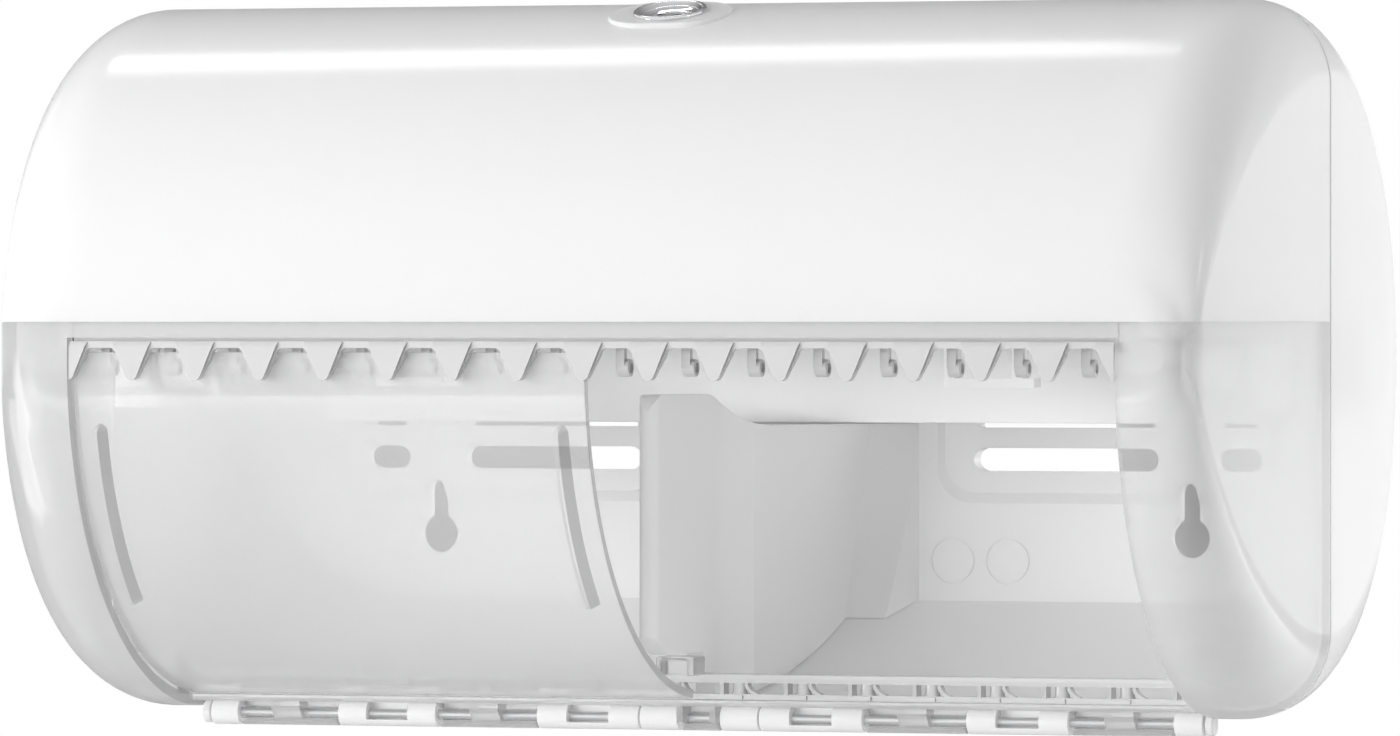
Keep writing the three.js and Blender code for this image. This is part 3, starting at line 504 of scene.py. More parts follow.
def shellSolid(name, outer, inner):
    bm = bmesh.new()
    outerRows = [[bm.verts.new(p) for p in ring] for ring in outer]
    innerRows = [[bm.verts.new(p) for p in ring] for ring in inner]
    for rows in (outerRows, innerRows):
        for a, b in zip(rows, rows[1:]):
            addBand(bm, a, b)
        bm.faces.new(rows[0])
    addBand(bm, outerRows[-1], innerRows[-1])
    return meshObject(name, bm)


hinge = Values(depth=79.2, height=-79.3, knuckle=2.8, bore=1.15, room=1.3, web=4.4, webTop=-75.7,
               webLow=-80.3, gap=0.3, end=115.5, cap=1.7,
               owners=("cover", "back", "back", "cover", "back", "cover", "back"),
               ends=(4.80, 13.89, 38.0, 61.6, 85.1, 108.7, 115.5), windowed=15, window=9.8, tongue=6.8,
               endRound=1.0, steps=40, rootShift=0.95, reach=8, overrun=5, troughEnd=1.6,
               slope=((-9, -9), (-9, 2.6), (-5.4, 2.6), (-2.2, -1.6), (-2.2, -9)))


def hingeSpans(owner):
    spans, start, play = [], 0, hinge.gap / 2
    for who, end in zip(hinge.owners, hinge.ends):
        if who == owner:
            near, far = (start + play if start else play - end), end - play
            spans += [(near, far), (-far, -near)] if start else [(near, far)]
        start = end
    return spans


def hingeHollow():
    end = hinge.end + hinge.cap + 2 * hinge.gap
    return roundX("hollow", hinge.knuckle + hinge.gap, -end, end, hinge.depth, hinge.height)


def knuckle(owner, x0, x1):
    centre, height, radius = hinge.depth, hinge.height, hinge.knuckle
    low = math.asin((hinge.webLow - height) / radius)
    side = 1 if owner == "back" else -1
    root = centre + side * hinge.rootShift if owner == "back" else centre
    start = math.acos((root - centre) / radius * side)
    outline = []
    for step in range(hinge.steps + 1):
        angle = start + (2 * math.pi + low - start) * step / hinge.steps
        outline.append((centre + side * radius * math.cos(angle), height + radius * math.sin(angle)))
    web = centre + side * hinge.web
    outline += [(web, hinge.webLow), (web, hinge.webTop), (root, hinge.webTop)]
    piece = roundEdges(prismX("knuckle", outline, x0, x1), hinge.endRound)
    middle, room = (x0 + x1) / 2, hinge.room
    depths, heights = (centre - hinge.reach, centre + room), (height - room, height + hinge.reach)
    if x0 < 0 < x1:
        wallEnd = hinge.troughEnd
        return cutWith(piece, boxObject("trough", (x0 + wallEnd, x1 - wallEnd), depths, heights))
    if x1 - x0 < hinge.windowed:
        return piece
    if owner == "back":
        half = hinge.window / 2
        return cutWith(piece, boxObject("window", (middle - half, middle + half), depths, heights))
    half, overrun = hinge.tongue / 2, hinge.overrun
    cutWith(piece, boxObject("left", (x0 - overrun, middle - half), depths, heights))
    cutWith(piece, boxObject("right", (middle + half, x1 + overrun), depths, heights))
    slope = [(centre + depth, height + z) for depth, z in hinge.slope]
    return cutWith(piece, prismX("slope", slope, x0 - overrun, x1 + overrun))


def addKnuckles(shell, owner):
    unite(shell, joinPieces("knuckles", [knuckle(owner, *span) for span in hingeSpans(owner)]))
    end = hinge.end + hinge.reach
    return cutWith(shell, roundX("bore", hinge.bore, -end, end, hinge.depth, hinge.height))


def coverShell(name):
    gapFront = form.seam - form.gap
    return shellSolid(name, coverRings(0, gapFront), coverRings(form.wall, gapFront))


def everywhere(name, z0, z1):
    return boxObject(name, (-beyond.x, beyond.x), (beyond.near, beyond.far), (z0, z1))


lock = Values(depth=58, height=74.99265, tilt=15.5826, padLength=28, padWidth=20, padHeight=0.55,
              padRoot=-1.4, padRound=0.5, padSteps=24, hole=6.3, holeReach=9, body=6, bodyLength=21,
              flange=8.15, rise=0.9, lip=1.0, lipRise=0.3, lipFall=0.25, lipSteps=8, dish=1.7,
              dishSteps=10, play=0.15, plug=4.2, plugEdge=0.4, plugHeights=(0.3, 0.45, 0.5),
              keyLength=5.6, keyWidth=1.2, keyDepth=6, keyOverrun=3, steps=72, seatDrop=1, seatPlay=0.2,
              plugOver=0.3, plugTip=0.3, barrelRound=0.1, plugRound=0.12, merge=1e-7)


# turns points from the lock's own axis to where it stands in the tilted top
def onLock(x, y, z):
    turn = math.radians(lock.tilt)
    return at(x, lock.depth + y * math.cos(turn) - z * math.sin(turn),
              lock.height + y * math.sin(turn) + z * math.cos(turn))


def lockPrism(name, outline, z0, z1):
    return skin(name, [[onLock(x, y, z) for x, y in outline] for z in (z0, z1)])


def lockRings(points):
    turn = fullTurn(lock.steps)
    return [[onLock(*onCircle(0, 0, radius, angle), z) for angle in turn] for radius, z in points]


def lockLathe(name, points):
    return skin(name, lockRings(points))


def slotOutline(x0, x1, z0, z1, steps=10):
    radius = (z1 - z0) / 2
    points = []
    for centre, start in ((x1 - radius, -90), (x0 + radius, 90)):
        for step in range(steps + 1):
            angle = math.radians(start + 180 * step / steps)
            points.append(onCircle(centre, z0 + radius, radius, angle))
    return points


def makeCover():
    top = cutWith(coverShell("coverFront"), everywhere("low", -beyond.z, form.clearTop))
    roundEdges(top, form.whiteRound, 2)
    halfLength, halfWidth = lock.padLength / 2, lock.padWidth / 2
    outline = slotOutline(-halfLength, halfLength, -halfWidth, halfWidth, lock.padSteps)
    pad = lockPrism("pad", outline, lock.padRoot, lock.padHeight)
    unite(top, roundEdges(pad, lock.padRound))
    cutWith(top, lockLathe("hole", [(lock.hole, -lock.holeReach), (lock.hole, lock.holeReach)]))
    soften(top, 0)
    dress(top, "shell", "cover", "cover_front")
    window = cutWith(coverShell("coverWindow"), everywhere("high", form.clearTop, beyond.z))
    across = (-form.openingHalf, form.openingHalf)
    cutWith(window, boxObject("opening", across, (form.openingFront, form.openingBack),
                              (-beyond.z, form.openingTop)))
    cutWith(window, boxObject("underside", across, form.underside, (-beyond.z, form.clearLow)))
    cutWith(window, hingeHollow())
    roundEdges(window, form.clearRound, 2)
    soften(addKnuckles(window, "cover"), 0)
    dress(window, "smoke", "cover", "cover_window")


makeCover()
print("cover done")


def prismY(name, outline, depth0, depth1):
    rings = [[at(x, depth, z) for x, z in outline] for depth in (depth0, depth1)]
    return skin(name, rings)


wall = Values(slotTop=-20.5, slotHeight=5.2, longSlot=(39.6, 83), shortSlot=(96, 107), shift=1.5,
              slitTrim=1.0, slitTop=-14.8, slitHeight=1.1, holeReach=(8, 4), keyX=89.8, keyZ=-40.6,
              keyRadius=4.5, neck=4.4, neckTop=-28.2, keySteps=32, neckSteps=10, lipReach=12,
              lipHeight=19, lipThickness=2.2, lipHalf=112, lipRoot=0.5, lipRound=0.4, lipSteps=24,
              pad=(32, 112), padZ=(-33, -6), padCorner=8, padHeight=2.2, padSlope=2.4, padRoot=1.5,
              padEase=0.3, marks=(35.6, 48.6), markZ=-46, markRadius=5, markWidth=0.4, markDepth=0.5,
              markReach=(2, 1), markSteps=64)


def keyholeOutline():
    half = wall.neck / 2
    arc = math.asin(half / wall.keyRadius)
    x, outline = wall.keyX, []
    for step in range(wall.keySteps + 1):
        angle = math.pi / 2 + arc + (2 * math.pi - 2 * arc) * step / wall.keySteps
        outline.append(onCircle(x, wall.keyZ, wall.keyRadius, angle))
    for step in range(wall.neckSteps + 1):
        angle = math.pi * step / wall.neckSteps
        outline.append(onCircle(x, wall.neckTop - half, half, angle))
    return outline


def slotPad(side):
    (x0, x1), (z0, z1) = wall.pad, wall.padZ
    rings = []
    for shrink, rise in ((0, -wall.padRoot), (0, 0), (wall.padSlope, wall.padHeight)):
        corner = wall.padCorner - shrink * wall.padEase
        ring = roundedRing((x1 - x0) / 2 - shrink, (z1 - z0) / 2 - shrink, corner,
                           wallFace - form.backWall - rise)
        middle = Vector((side * (x0 + x1) / 2, 0, (z0 + z1) / 2)) * mm
        rings.append([point + middle for point in ring])
    return skin("pad", rings)


def markGroove(x):
    above, past = wall.markReach
    surface = wallFace - form.backWall
    front, back = surface - above, surface + wall.markDepth
    turn, halfWidth = fullTurn(wall.markSteps), wall.markWidth / 2
    loops = [[onCircle(x, wall.markZ, radius, angle) for angle in turn]
             for radius in (wall.markRadius + halfWidth, wall.markRadius - halfWidth)]
    core = prismY("core", loops[1], front - past, back + past)
    return cutWith(prismY("groove", loops[0], front, back), core)


def makeBackShell():
    gapBack = form.seam + form.gap
    innerDepth = wallFace - form.backWall
    outer = backRings(0, gapBack, wallFace)[::-1]
    inner = backRings(form.wall, gapBack, innerDepth)[::-1]
    shell = unite(shellSolid("backShell", outer, inner), slotPad(1), slotPad(-1))
    bottom, slitBottom = wall.slotTop - wall.slotHeight, wall.slitTop - wall.slitHeight
    holes = [keyholeOutline()]
    for x0, x1 in (wall.longSlot, wall.shortSlot):
        holes.append(slotOutline(x0, x1, bottom, wall.slotTop))
        holes.append(slotOutline(x0 + wall.slitTrim, x1 - wall.slitTrim, slitBottom, wall.slitTop))
    front, back = innerDepth - wall.holeReach[0], wallFace + wall.holeReach[1]
    cutters = [prismY("hole", [(side * x + wall.shift, z) for x, z in outline], front, back)
               for side in (1, -1) for outline in holes]
    cutters += [markGroove(x) for x in wall.marks]
    cutWith(shell, joinPieces("holes", cutters))
    cutWith(shell, hingeHollow())
    roundEdges(shell, form.whiteRound, 2)
    soften(addKnuckles(shell, "back"), 0)
    dress(shell, "shell", "back", "back_shell")


def makeLip():
    root = wallFace - form.backWall + wall.lipRoot
    outer, inner = [], []
    for angle in quarterTurn(wall.lipSteps):
        rise, reach = math.sin(angle), math.cos(angle)
        outer.append((root - wall.lipReach * reach, wall.slitTop + wall.lipHeight * rise))
        inner.append((root - (wall.lipReach - wall.lipThickness) * reach,
                      wall.slitTop + (wall.lipHeight - wall.lipThickness) * rise))
    lip = prismX("wallLip", outer + inner[::-1], -wall.lipHalf, wall.lipHalf)
    dress(soften(lip, wall.lipRound), "inner", "back")


# a dark strip in the groove behind the seam, a painted shadow that stands in for the shade in the seam's
# gap
def makePaintedSeamShadow():
    front = form.seam + form.gap + form.seamEase
    depths = (front, front + form.seamWidth - 2 * form.seamEase)
    outer, inner = [[outlineRing(sunk, depth) for depth in depths]
                    for sunk in (form.linerSunk, form.seamDepth - form.linerPlay)]
    seamShadow = skin("paintedSeamShadow", outer + inner[::-1] + outer[:1], False, False)
    cutWith(seamShadow, hingeHollow())
    dress(soften(seamShadow, form.linerRound), "seamShadow", "back")


makeBackShell()
makePaintedSeamShadow()
makeLip()
print("back done")


bar = Values(half=118.1, top=3.75, bottom=2.3, front=1.0, combBack=2.55, flangeFront=3.293,
             flangeBack=4.893, flangeTop=8.5, teeth=16, pitch=14.8, toothFront=0.3, toothTop=3.6,
             shoulder=2.6, chamfer=0.55, topHalf=4.0, tip=-4.6, tipRound=1.4, tipSteps=8,
             rootFillet=1.6, filletSteps=6, rootShift=0.6, rootRise=1, backStep=0.05, frontTuck=0.4,
             flangeRise=0.2, round=0.36, trimDepth=(-10, 30), trimHeight=(-30, 30))


# half the outline of a tooth, from the shoulder down to the middle of the tip
def toothFlank(topHalf, top):
    radius = bar.tipRound
    centre = bar.tip + bar.tipRound
    run, drop = topHalf, top - centre
    reach = math.hypot(run, drop)
    lean = math.atan2(run, drop) - math.asin(radius / reach)
    points = [(topHalf, top)]
    for step in range(bar.tipSteps + 1):
        angle = -lean - (math.pi / 2 - lean) * step / bar.tipSteps
        points.append(onCircle(0, centre, radius, angle))
    return points


def makeTearBar():
    half = bar.half
    comb = boxObject("tearBar", (-half, half), (bar.front, bar.flangeBack), (bar.bottom, bar.top))
    unite(comb, boxObject("flange", (-half, half), (bar.flangeFront, bar.flangeBack),
                          (bar.bottom + bar.flangeRise, bar.flangeTop)))
    backs, fronts = [], []
    for k in range(bar.teeth + 1):
        middle = (k - bar.teeth / 2) * bar.pitch
        right = toothFlank(bar.topHalf, bar.shoulder)
        lean = (right[0][0] - right[1][0]) / (right[0][1] - right[1][1])
        fillet = bar.rootFillet
        root = bar.topHalf - bar.rootShift * lean
        curve = [(root + fillet * (1 - math.sin(t)), bar.bottom - fillet * (1 - math.cos(t)))
                 for t in quarterTurn(bar.filletSteps)]
        wide = [(curve[0][0], bar.bottom + bar.rootRise)] + curve + right[1:]
        outline = [(middle + x, z) for x, z in wide] + [(middle - x, z) for x, z in wide[::-1]]
        backs.append(prismY("toothBack", outline, bar.front + bar.backStep, bar.combBack))
        # the front of a tooth, whose top edge leans back
        rings = []
        rise = bar.toothTop - bar.shoulder
        for depth, grow in ((bar.toothFront, 0), (bar.toothFront + bar.chamfer, rise),
                            (bar.combBack - bar.frontTuck, rise)):
            edge = [(bar.topHalf + grow * lean, bar.shoulder + grow)] + right[1:]
            rings.append([at(middle + x, depth, z) for x, z in edge] +
                         [at(middle - x, depth, z) for x, z in edge[::-1]])
        fronts.append(skin("toothFront", rings))
    unite(comb, joinPieces("backs", backs), joinPieces("fronts", fronts))
    cutWith(comb, boxObject("inside", (-half, half), bar.trimDepth, bar.trimHeight), "INTERSECT")
    dress(soften(comb, bar.round, 3), "teeth", "cover", "tear_bar")


hook = Values(front=5.193, thickness=2, foot=1.45, radius=1.9, height=-1.9, stem=0.5,
              stemDepth=(0.05, 1.7), dish=1.15, dishDepth=0.5, dishReach=1, dishSteps=32, footRound=0.3,
              round=0.15)


def makeHookRail():
    half, front = bar.half, hook.front
    rail = boxObject("hookRail", (-half, half), (front, front + hook.thickness),
                     (bar.bottom, bar.flangeTop))
    feet, stems, dishes = [], [], []
    for k in range(bar.teeth):
        x = (k + 0.5 - bar.teeth / 2) * bar.pitch
        middle = front + hook.radius
        foot = roundX("foot", hook.radius, x - hook.foot, x + hook.foot, middle, hook.height)
        feet.append(roundEdges(foot, hook.footRound, 2))
        stems.append(boxObject("stem", (x - hook.foot, x + hook.stem),
                               [front + depth for depth in hook.stemDepth], (hook.height, bar.top)))
        end = x + hook.foot
        dishes.append(roundX("dish", hook.dish, end - hook.dishDepth, end + hook.dishReach, middle,
                             hook.height, hook.dishSteps))
    unite(rail, joinPieces("stems", stems), joinPieces("feet", feet))
    cutWith(rail, joinPieces("dishes", dishes))
    dress(soften(rail, hook.round), "teeth", "cover", "hook_rail")


makeTearBar()
makeHookRail()
print("tear bar done")


door = Values(outer=2.9, thickness=2, top=1.4, back=74.2, x=(-118.1, -0.3), steps=96,
              ribs=(-112.3, -6.1), ribHalf=1.55, ribRise=1.9, ribTop=-14.2, ribBottom=-53, ribSteps=60,
              ribAcross=20, ribRoot=1, ribSwell=0.6, leastSwell=0.02, topLength=1.3, bluntShare=0.35,
              bluntLength=1.2, steepShare=0.09, flatShare=0.42, round=0.2)


def coverCurve(inset, angle):
    return (form.seam - (form.seam - inset) * math.cos(angle),
            -(form.halfHeight - inset) * math.sin(angle))


# a rib along the door's curve, steep on its left, with a round top end and a blunt lower end
def doorRib(x):
    reach = form.halfHeight - door.outer
    start, end = (math.asin(-z / reach) for z in (door.ribTop, door.ribBottom))
    length, rings = (end - start) * reach, []
    for row in range(door.ribSteps + 1):
        share = row / door.ribSteps
        angle = start + (end - start) * share
        near = min(1, share * length / (door.ribHalf * door.topLength),
                   door.bluntShare + (1 - share) * length / door.bluntLength)
        swell = math.sqrt(max(door.leastSwell, 1 - (1 - near) ** 2))
        half = door.ribHalf * swell ** door.ribSwell
        ring = []
        for i in range(door.ribAcross + 1):
            lean = math.cos(math.pi * i / door.ribAcross)
            across, flat = (1 - lean) / 2, door.flatShare
            ridge = min(1, across / door.steepShare) if across < flat else 1 - (across - flat) / (1 - flat)
            depth, z = coverCurve(door.outer - door.ribRise * swell * ridge, angle)
            ring.append(at(x - half * lean, depth, z))
        depth, z = coverCurve(door.outer + door.ribRoot, angle)
        rings.append(ring + [at(x + half, depth, z), at(x - half, depth, z)])
    return skin("rib", rings)


def makeDoor():
    start = math.asin(-door.top / (form.halfHeight - door.outer))
    end = math.acos((form.seam - door.back) / (form.seam - door.outer))
    turns = [start + (end - start) * step / door.steps for step in range(door.steps + 1)]
    outline = [coverCurve(door.outer, t) for t in turns]
    outline += [coverCurve(door.outer + door.thickness, t) for t in turns[::-1]]
    sheet = roundEdges(prismX("slidingDoor", outline, *door.x), door.round, 3)
    unite(sheet, joinPieces("ribs", [doorRib(x) for x in door.ribs]))
    dress(soften(sheet, 0), "haze", "door", "sliding_door")


makeDoor()
print("door done")


ladder = Values(half=118.1, front=73, lipBack=74.6, postFront=75.3, back=78.8, top=-69.4, under=-71,
                lipLow=-71.3, floor=-75.05, stripTop=-73.85, plate=(5.6, 6.5), column=9.6,
                columnRadius=1.6, columnSteps=32, base=(4.4, 10.9), baseHeights=(0.02, 0.95),
                baseDepths=(-0.9, -0.4), sweep=(11.0, 17.6), sweepThick=0.7, sweepDrop=0.9,
                sweepSteps=12, sweepDepths=(0.4, -0.5), plateDepths=(-0.4, -0.3), footSink=0.05,
                headRise=0.3, lipStep=0.05, lipDrop=0.5, stripStep=0.1, railRound=0.4, round=0.12,
                limitDepth=(60, 79), limitTop=-60)
# how much a column is wider over its foot, by height
columnGrowth = ((0, 0.9), (0.5, 0.75), (1.1, 0.25), (1.8, 0))


# one group of a plate, a column on its base and a curved sweep beside it
def ladderGroup(x, low, high):
    front, back = ladder.postFront, ladder.back

    def depths(steps):
        return front + steps[0], back + steps[1]

    plate = boxObject("plate", [x + side for side in ladder.plate], depths(ladder.plateDepths), (low, high))
    radius, rings = ladder.columnRadius, []
    for z, grow in [(low + rise, grow) for rise, grow in columnGrowth] + [(high, 0)]:
        rings.append([at(x + ladder.column + (radius + grow) * math.cos(a),
                         front + radius + (radius + grow * 0.5) * math.sin(a), z)
                      for a in fullTurn(ladder.columnSteps)])
    base = boxObject("base", [x + side for side in ladder.base], depths(ladder.baseDepths),
                     [low + height for height in ladder.baseHeights])
    (x0, x1), top, thick = ladder.sweep, high - ladder.sweepDrop, ladder.sweepThick
    outer = [(x + x1 - (x1 - x0) * math.cos(a), top - (top - low) * math.sin(a))
             for a in quarterTurn(ladder.sweepSteps)]
    inner = [(px + thick, pz + thick * 0.5) for px, pz in outer]
    outline = outer + inner[::-1]
    return plate, skin("column", rings), base, prismY("sweep", outline, *depths(ladder.sweepDepths))


def makeLadder():
    across, front, back = (-ladder.half, ladder.half), ladder.front, ladder.back
    rail = boxObject("lowerLadder", across, (front, back), (ladder.under, ladder.top))
    roundEdges(rail, ladder.railRound)
    lip = boxObject("lip", across, (front + ladder.lipStep, ladder.lipBack),
                    (ladder.lipLow, ladder.top - ladder.lipDrop))
    strip = boxObject("strip", across, (ladder.postFront, back - ladder.stripStep),
                      (ladder.floor, ladder.stripTop))
    low, high = ladder.floor + ladder.footSink, ladder.under + ladder.headRise
    groups = [ladderGroup(k * bar.pitch, low, high) for k in range(-bar.teeth // 2, bar.teeth // 2)]
    unite(rail, lip, strip, *(joinPieces("posts", parts) for parts in zip(*groups)))
    cutWith(rail, boxObject("limits", across, ladder.limitDepth, (ladder.floor, ladder.limitTop)),
            "INTERSECT")
    dress(soften(rail, ladder.round), "rail", "cover", "lower_ladder")


# depths are from the front, heights from the wall face's centre
guides = Values(middle=(-6.4, 2.6), depth=(66.2, 74), top=-65.4, sink=0.3, notch=(1.4, 7.2),
                notchFront=60, notchDepth=3.4, notchDrop=0.9, notchLow=1, middleRound=0.6,
                sides={"doorGuideLeft": ((-129, -118.8), -65.6), "doorGuideRight": ((118.8, 122.2), -69.6)},
                sideDepth=(65.5, 72.6), sideLow=-75.6, sideRound=0.7)


# clear blocks that guide the lower edge of the door
def makeDoorGuides():
    low = ladder.top - guides.sink
    middle = boxObject("doorGuideMiddle", guides.middle, guides.depth, (low, guides.top))
    cutWith(middle, boxObject("notch", [guides.middle[0] + side for side in guides.notch],
                              (guides.notchFront, guides.depth[0] + guides.notchDepth),
                              (low - guides.notchLow, guides.top - guides.notchDrop)))
    dress(soften(middle, guides.middleRound, 3), "haze", "cover")
    for name, (span, top) in guides.sides.items():
        block = boxObject(name, span, guides.sideDepth, (guides.sideLow, top))
        dress(soften(block, guides.sideRound, 3), "smoke", "cover")


makeLadder()
makeDoorGuides()
print("ladder done")


divider = Values(half=2.2, front=42, frontRun=8, noseRound=2.15, noseSteps=12, fin=83, finRun=4,
                 filletEnd=97, filletHalf=6, filletSteps=16, footDepth=143.4, footLow=12.2,
                 footHigh=18.4, footHollow=0.7, footSteps=12, toeLow=21.6, toeInset=0.3, base=27.4,
                 toeTop=-26.5, toeLowZ=-59, toeSteps=12, wallIn=150, wallEase=0.15, wallOver=1.5,
                 low=-77, upperHeights=(-22, wall.slitTop, -5), round=0.6, crease=13)
# the divider's outline from the side, as depths and heights
profile = Values(doorGap=2.5, curveEnd=72.4, curveSteps=40, notch=-64.6, notchEnd=75, overLadder=-69.15,
                 pastHinge=81.3, low=-90, back=150, backTop=-15.1, shoulder=104, top=-7.9, fall=-14.7,
                 fallEnd=99, fallRun=24, fallPower=0.85, steps=12, topRound=4, half=40, roomGap=0.3,
                 frontRoom=((-60, 60), (30, 83), (-120, 60)))


def ease(a, b, share):
    return a + (b - a) * share


def shareOf(value, low, high):
    return min(1, max(0, (value - low) / (high - low)))


def dividerRing(z):
    grow = shareOf(z, divider.toeLowZ, wall.slitTop)
    lift = shareOf(z, divider.toeLowZ, divider.toeTop)
    half, nose, fillet = divider.half, divider.noseRound, divider.filletHalf
    foot = ease(divider.footLow, divider.footHigh, grow)
    toe = ease(divider.toeLow, divider.base - divider.toeInset, lift)
    toeDepth = ease(divider.footDepth, divider.wallIn - divider.wallEase, lift)
    right = [(half - nose * (1 - math.sin(angle)), divider.front + nose * (1 - math.cos(angle)))
             for angle in quarterTurn(divider.noseSteps)]
    right += [(half, divider.front + divider.frontRun), (half, divider.fin - divider.finRun)]
    for step in range(divider.filletSteps + 1):
        share = step / divider.filletSteps
        right.append((ease(half, fillet, share ** 2), ease(divider.fin, divider.filletEnd, share)))
    # the foot's face is a little hollow between the fillet and its edge
    for step in range(1, divider.footSteps + 1):
        share = step / divider.footSteps
        right.append((ease(fillet, foot, share) - divider.footHollow * math.sin(math.pi * share),
                      ease(divider.filletEnd, divider.footDepth, share)))
    right += [(toe, toeDepth), (divider.base, divider.wallIn),
              (divider.base, divider.wallIn + divider.wallOver)]
    return [at(x, depth, z) for x, depth in right] + [at(-x, depth, z) for x, depth in right[::-1]]


def dividerProfile():
    side, front = [], divider.front
    inset = door.outer + door.thickness
    # the front follows the door's inner face
    for step in range(profile.curveSteps + 1):
        depth = front + (profile.curveEnd - front) * step / profile.curveSteps
        share = (form.seam - depth) / (form.seam - inset)
        low = profile.doorGap - (form.halfHeight - inset) * math.sqrt(1 - share ** 2)
        side.append((depth, max(low, profile.notch)))
    # the foot steps over the ladder and behind the hinge
    side += [(profile.notchEnd, profile.notch), (profile.notchEnd, profile.overLadder),
             (profile.pastHinge, profile.overLadder), (profile.pastHinge, profile.low),
             (profile.back, profile.low), (profile.back, profile.backTop),
             (profile.shoulder, profile.backTop)]
    # the top falls away behind the fin in a soft S
    top, fall = profile.top, profile.fall
    for step in range(profile.steps + 1):
        share = step / profile.steps
        drop = (1 + math.cos(math.pi * share ** profile.fallPower)) / 2
        side.append((profile.fallEnd - profile.fallRun * share, top + (fall - top) * drop))
    for angle in quarterTurn(profile.steps):
        side.append((front + profile.topRound * (1 - math.sin(angle)),
                     top - profile.topRound * (1 - math.cos(angle))))
    return side


def makeDivider():
    low, high, steps = divider.toeLowZ, divider.toeTop, divider.toeSteps
    heights = [divider.low] + [low + (high - low) * step / steps for step in range(steps + 1)]
    heights += divider.upperHeights
    column = skin("centreDivider", [dividerRing(z) for z in heights])
    cutWith(column, prismX("profile", dividerProfile(), -profile.half, profile.half), "INTERSECT")
    gapBack = form.seam + form.gap
    room = skin("room", backRings(form.wall + profile.roomGap, gapBack, divider.wallIn))
    unite(room, boxObject("frontRoom", *profile.frontRoom))
    cutWith(column, room, "INTERSECT")
    dress(soften(column, divider.round, 3, divider.crease), "inner", "back", "centre_divider")


makeDivider()
print("divider done")


def makeLock():
    seat, top = lock.padHeight, lock.padHeight + lock.rise
    inner, floor = lock.plug + lock.play, top - lock.dish
    outer, edge, start = lock.flange, lock.flange - lock.lip, seat + lock.lipRise
    points = [(lock.body, -lock.bodyLength), (lock.body, seat - lock.seatDrop),
              (lock.hole - lock.seatPlay, seat), (outer, seat), (outer, start)]
    # the lip rises steeply outside and falls a little inside
    for step in range(1, lock.lipSteps + 1):
        angle = math.pi * step / lock.lipSteps
        rise = math.sin(angle)
        outside = step <= lock.lipSteps / 2
        height = start + (top - start) * rise if outside else top - (1 - rise) * lock.lipFall
        points.append((outer - lock.lip * (1 - math.cos(angle)) / 2, height))
    # a hollow dish leads down to the plug
    for step in range(1, lock.dishSteps + 1):
        share = step / lock.dishSteps
        drop = lock.lipFall + (lock.dish - lock.lipFall) * math.sin(math.pi / 2 * share)
        points.append((edge - (edge - inner) * share, top - drop))
    points.append((inner, -lock.bodyLength))
    barrel = skin("lockBarrel", lockRings(points + points[:1]), False, False)
    bm = bmesh.new()
    bm.from_mesh(barrel.data)
    bmesh.ops.remove_doubles(bm, verts=bm.verts[:], dist=lock.merge)
    bm.to_mesh(barrel.data)
    bm.free()
    dress(soften(barrel, lock.barrelRound), "chrome", "cover", "lock_barrel")
    plug, (chamfer, middle, crown) = lock.plug, lock.plugHeights
    face = lockLathe("lockPlug", [(plug, -lock.bodyLength - lock.plugOver), (plug, floor),
                                  (plug - lock.plugEdge, floor + chamfer), (plug * 0.5, floor + middle),
                                  (lock.plugTip, floor + crown)])
    halfLength, halfWidth = lock.keyLength / 2, lock.keyWidth / 2
    key = [(halfLength, halfWidth), (-halfLength, halfWidth), (-halfLength, -halfWidth),
           (halfLength, -halfWidth)]
    cutWith(face, lockPrism("keySlot", key, floor - lock.keyDepth, floor + lock.keyOverrun))
    dress(soften(face, lock.plugRound), "chrome", "lock", "lock_plug")


makeLock()
print("lock done")


# the rounding of the small pieces' edges, and what counts as one point and as one plane
fine = Values(width=0.25, sheet=0.15, rod=0.12, nut=0.2, merge=1e-6, flatAngle=2)


# copies of small CAD pieces with softened edges
def refined(node, finish, bodyName, width=fine.width):
    bm = bmesh.new()
    bm.from_mesh(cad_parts[node].data)
    bmesh.ops.remove_doubles(bm, verts=bm.verts[:], dist=fine.merge)
    flat = math.radians(fine.flatAngle)
    bmesh.ops.dissolve_limit(bm, angle_limit=flat, verts=bm.verts[:], edges=bm.edges[:])
    piece = meshObject(node + "_fine", bm)
    soften(piece, width)
    return dress(piece, finish, bodyName, node)


def makeSmallPieces():
    for name in ("hub_bracket_left", "hub_bracket_right", "brake_bracket_left", "brake_bracket_right"):
        refined(name, "inner", "back")
    for side in ("left", "right"):
        refined("roll_hub_" + side, "inner", "hub_" + side)
        refined("brake_loop_" + side, "inner", "brake_" + side)
        refined("rod_cap_" + side, "shell", "back")
        refined("brake_pin_" + side, "steel", "back", fine.sheet)
        refined("bar_end_cap_" + side, "teeth", "cover")
    refined("catch_plate", "steel", "back", fine.sheet)
    refined("hinge_rod", "rod", "back", fine.rod)
    refined("lock_nut", "steel", "cover", fine.nut)
    refined("lock_cam", "steel", "lock", fine.sheet)
    refined("lock_cam_screw", "steel", "lock", fine.sheet)


makeSmallPieces()
print("small pieces done")


studio = Values(floorZ=-0.42, floorSize=14, floorTone=0.84, floorGlow=0.65, ambient=0.27,
                behindClear=0.05, dust=3, dustDetail=2, dustShade=0.96, dustShare=0.06, cardRough=0.7,
                fadeEnd=0.8)
# cards above and behind the view, seen only in reflections and in bounced light
flags = {"topFlag": {"tone": 0.3, "place": (0, 0.1, 0.75), "size": (2.4, 2), "frontTone": 0.95},
         "rearFlag": {"tone": 0.35, "place": (0, 1.6, 0.85), "size": (4, 1.2), "upright": True}}


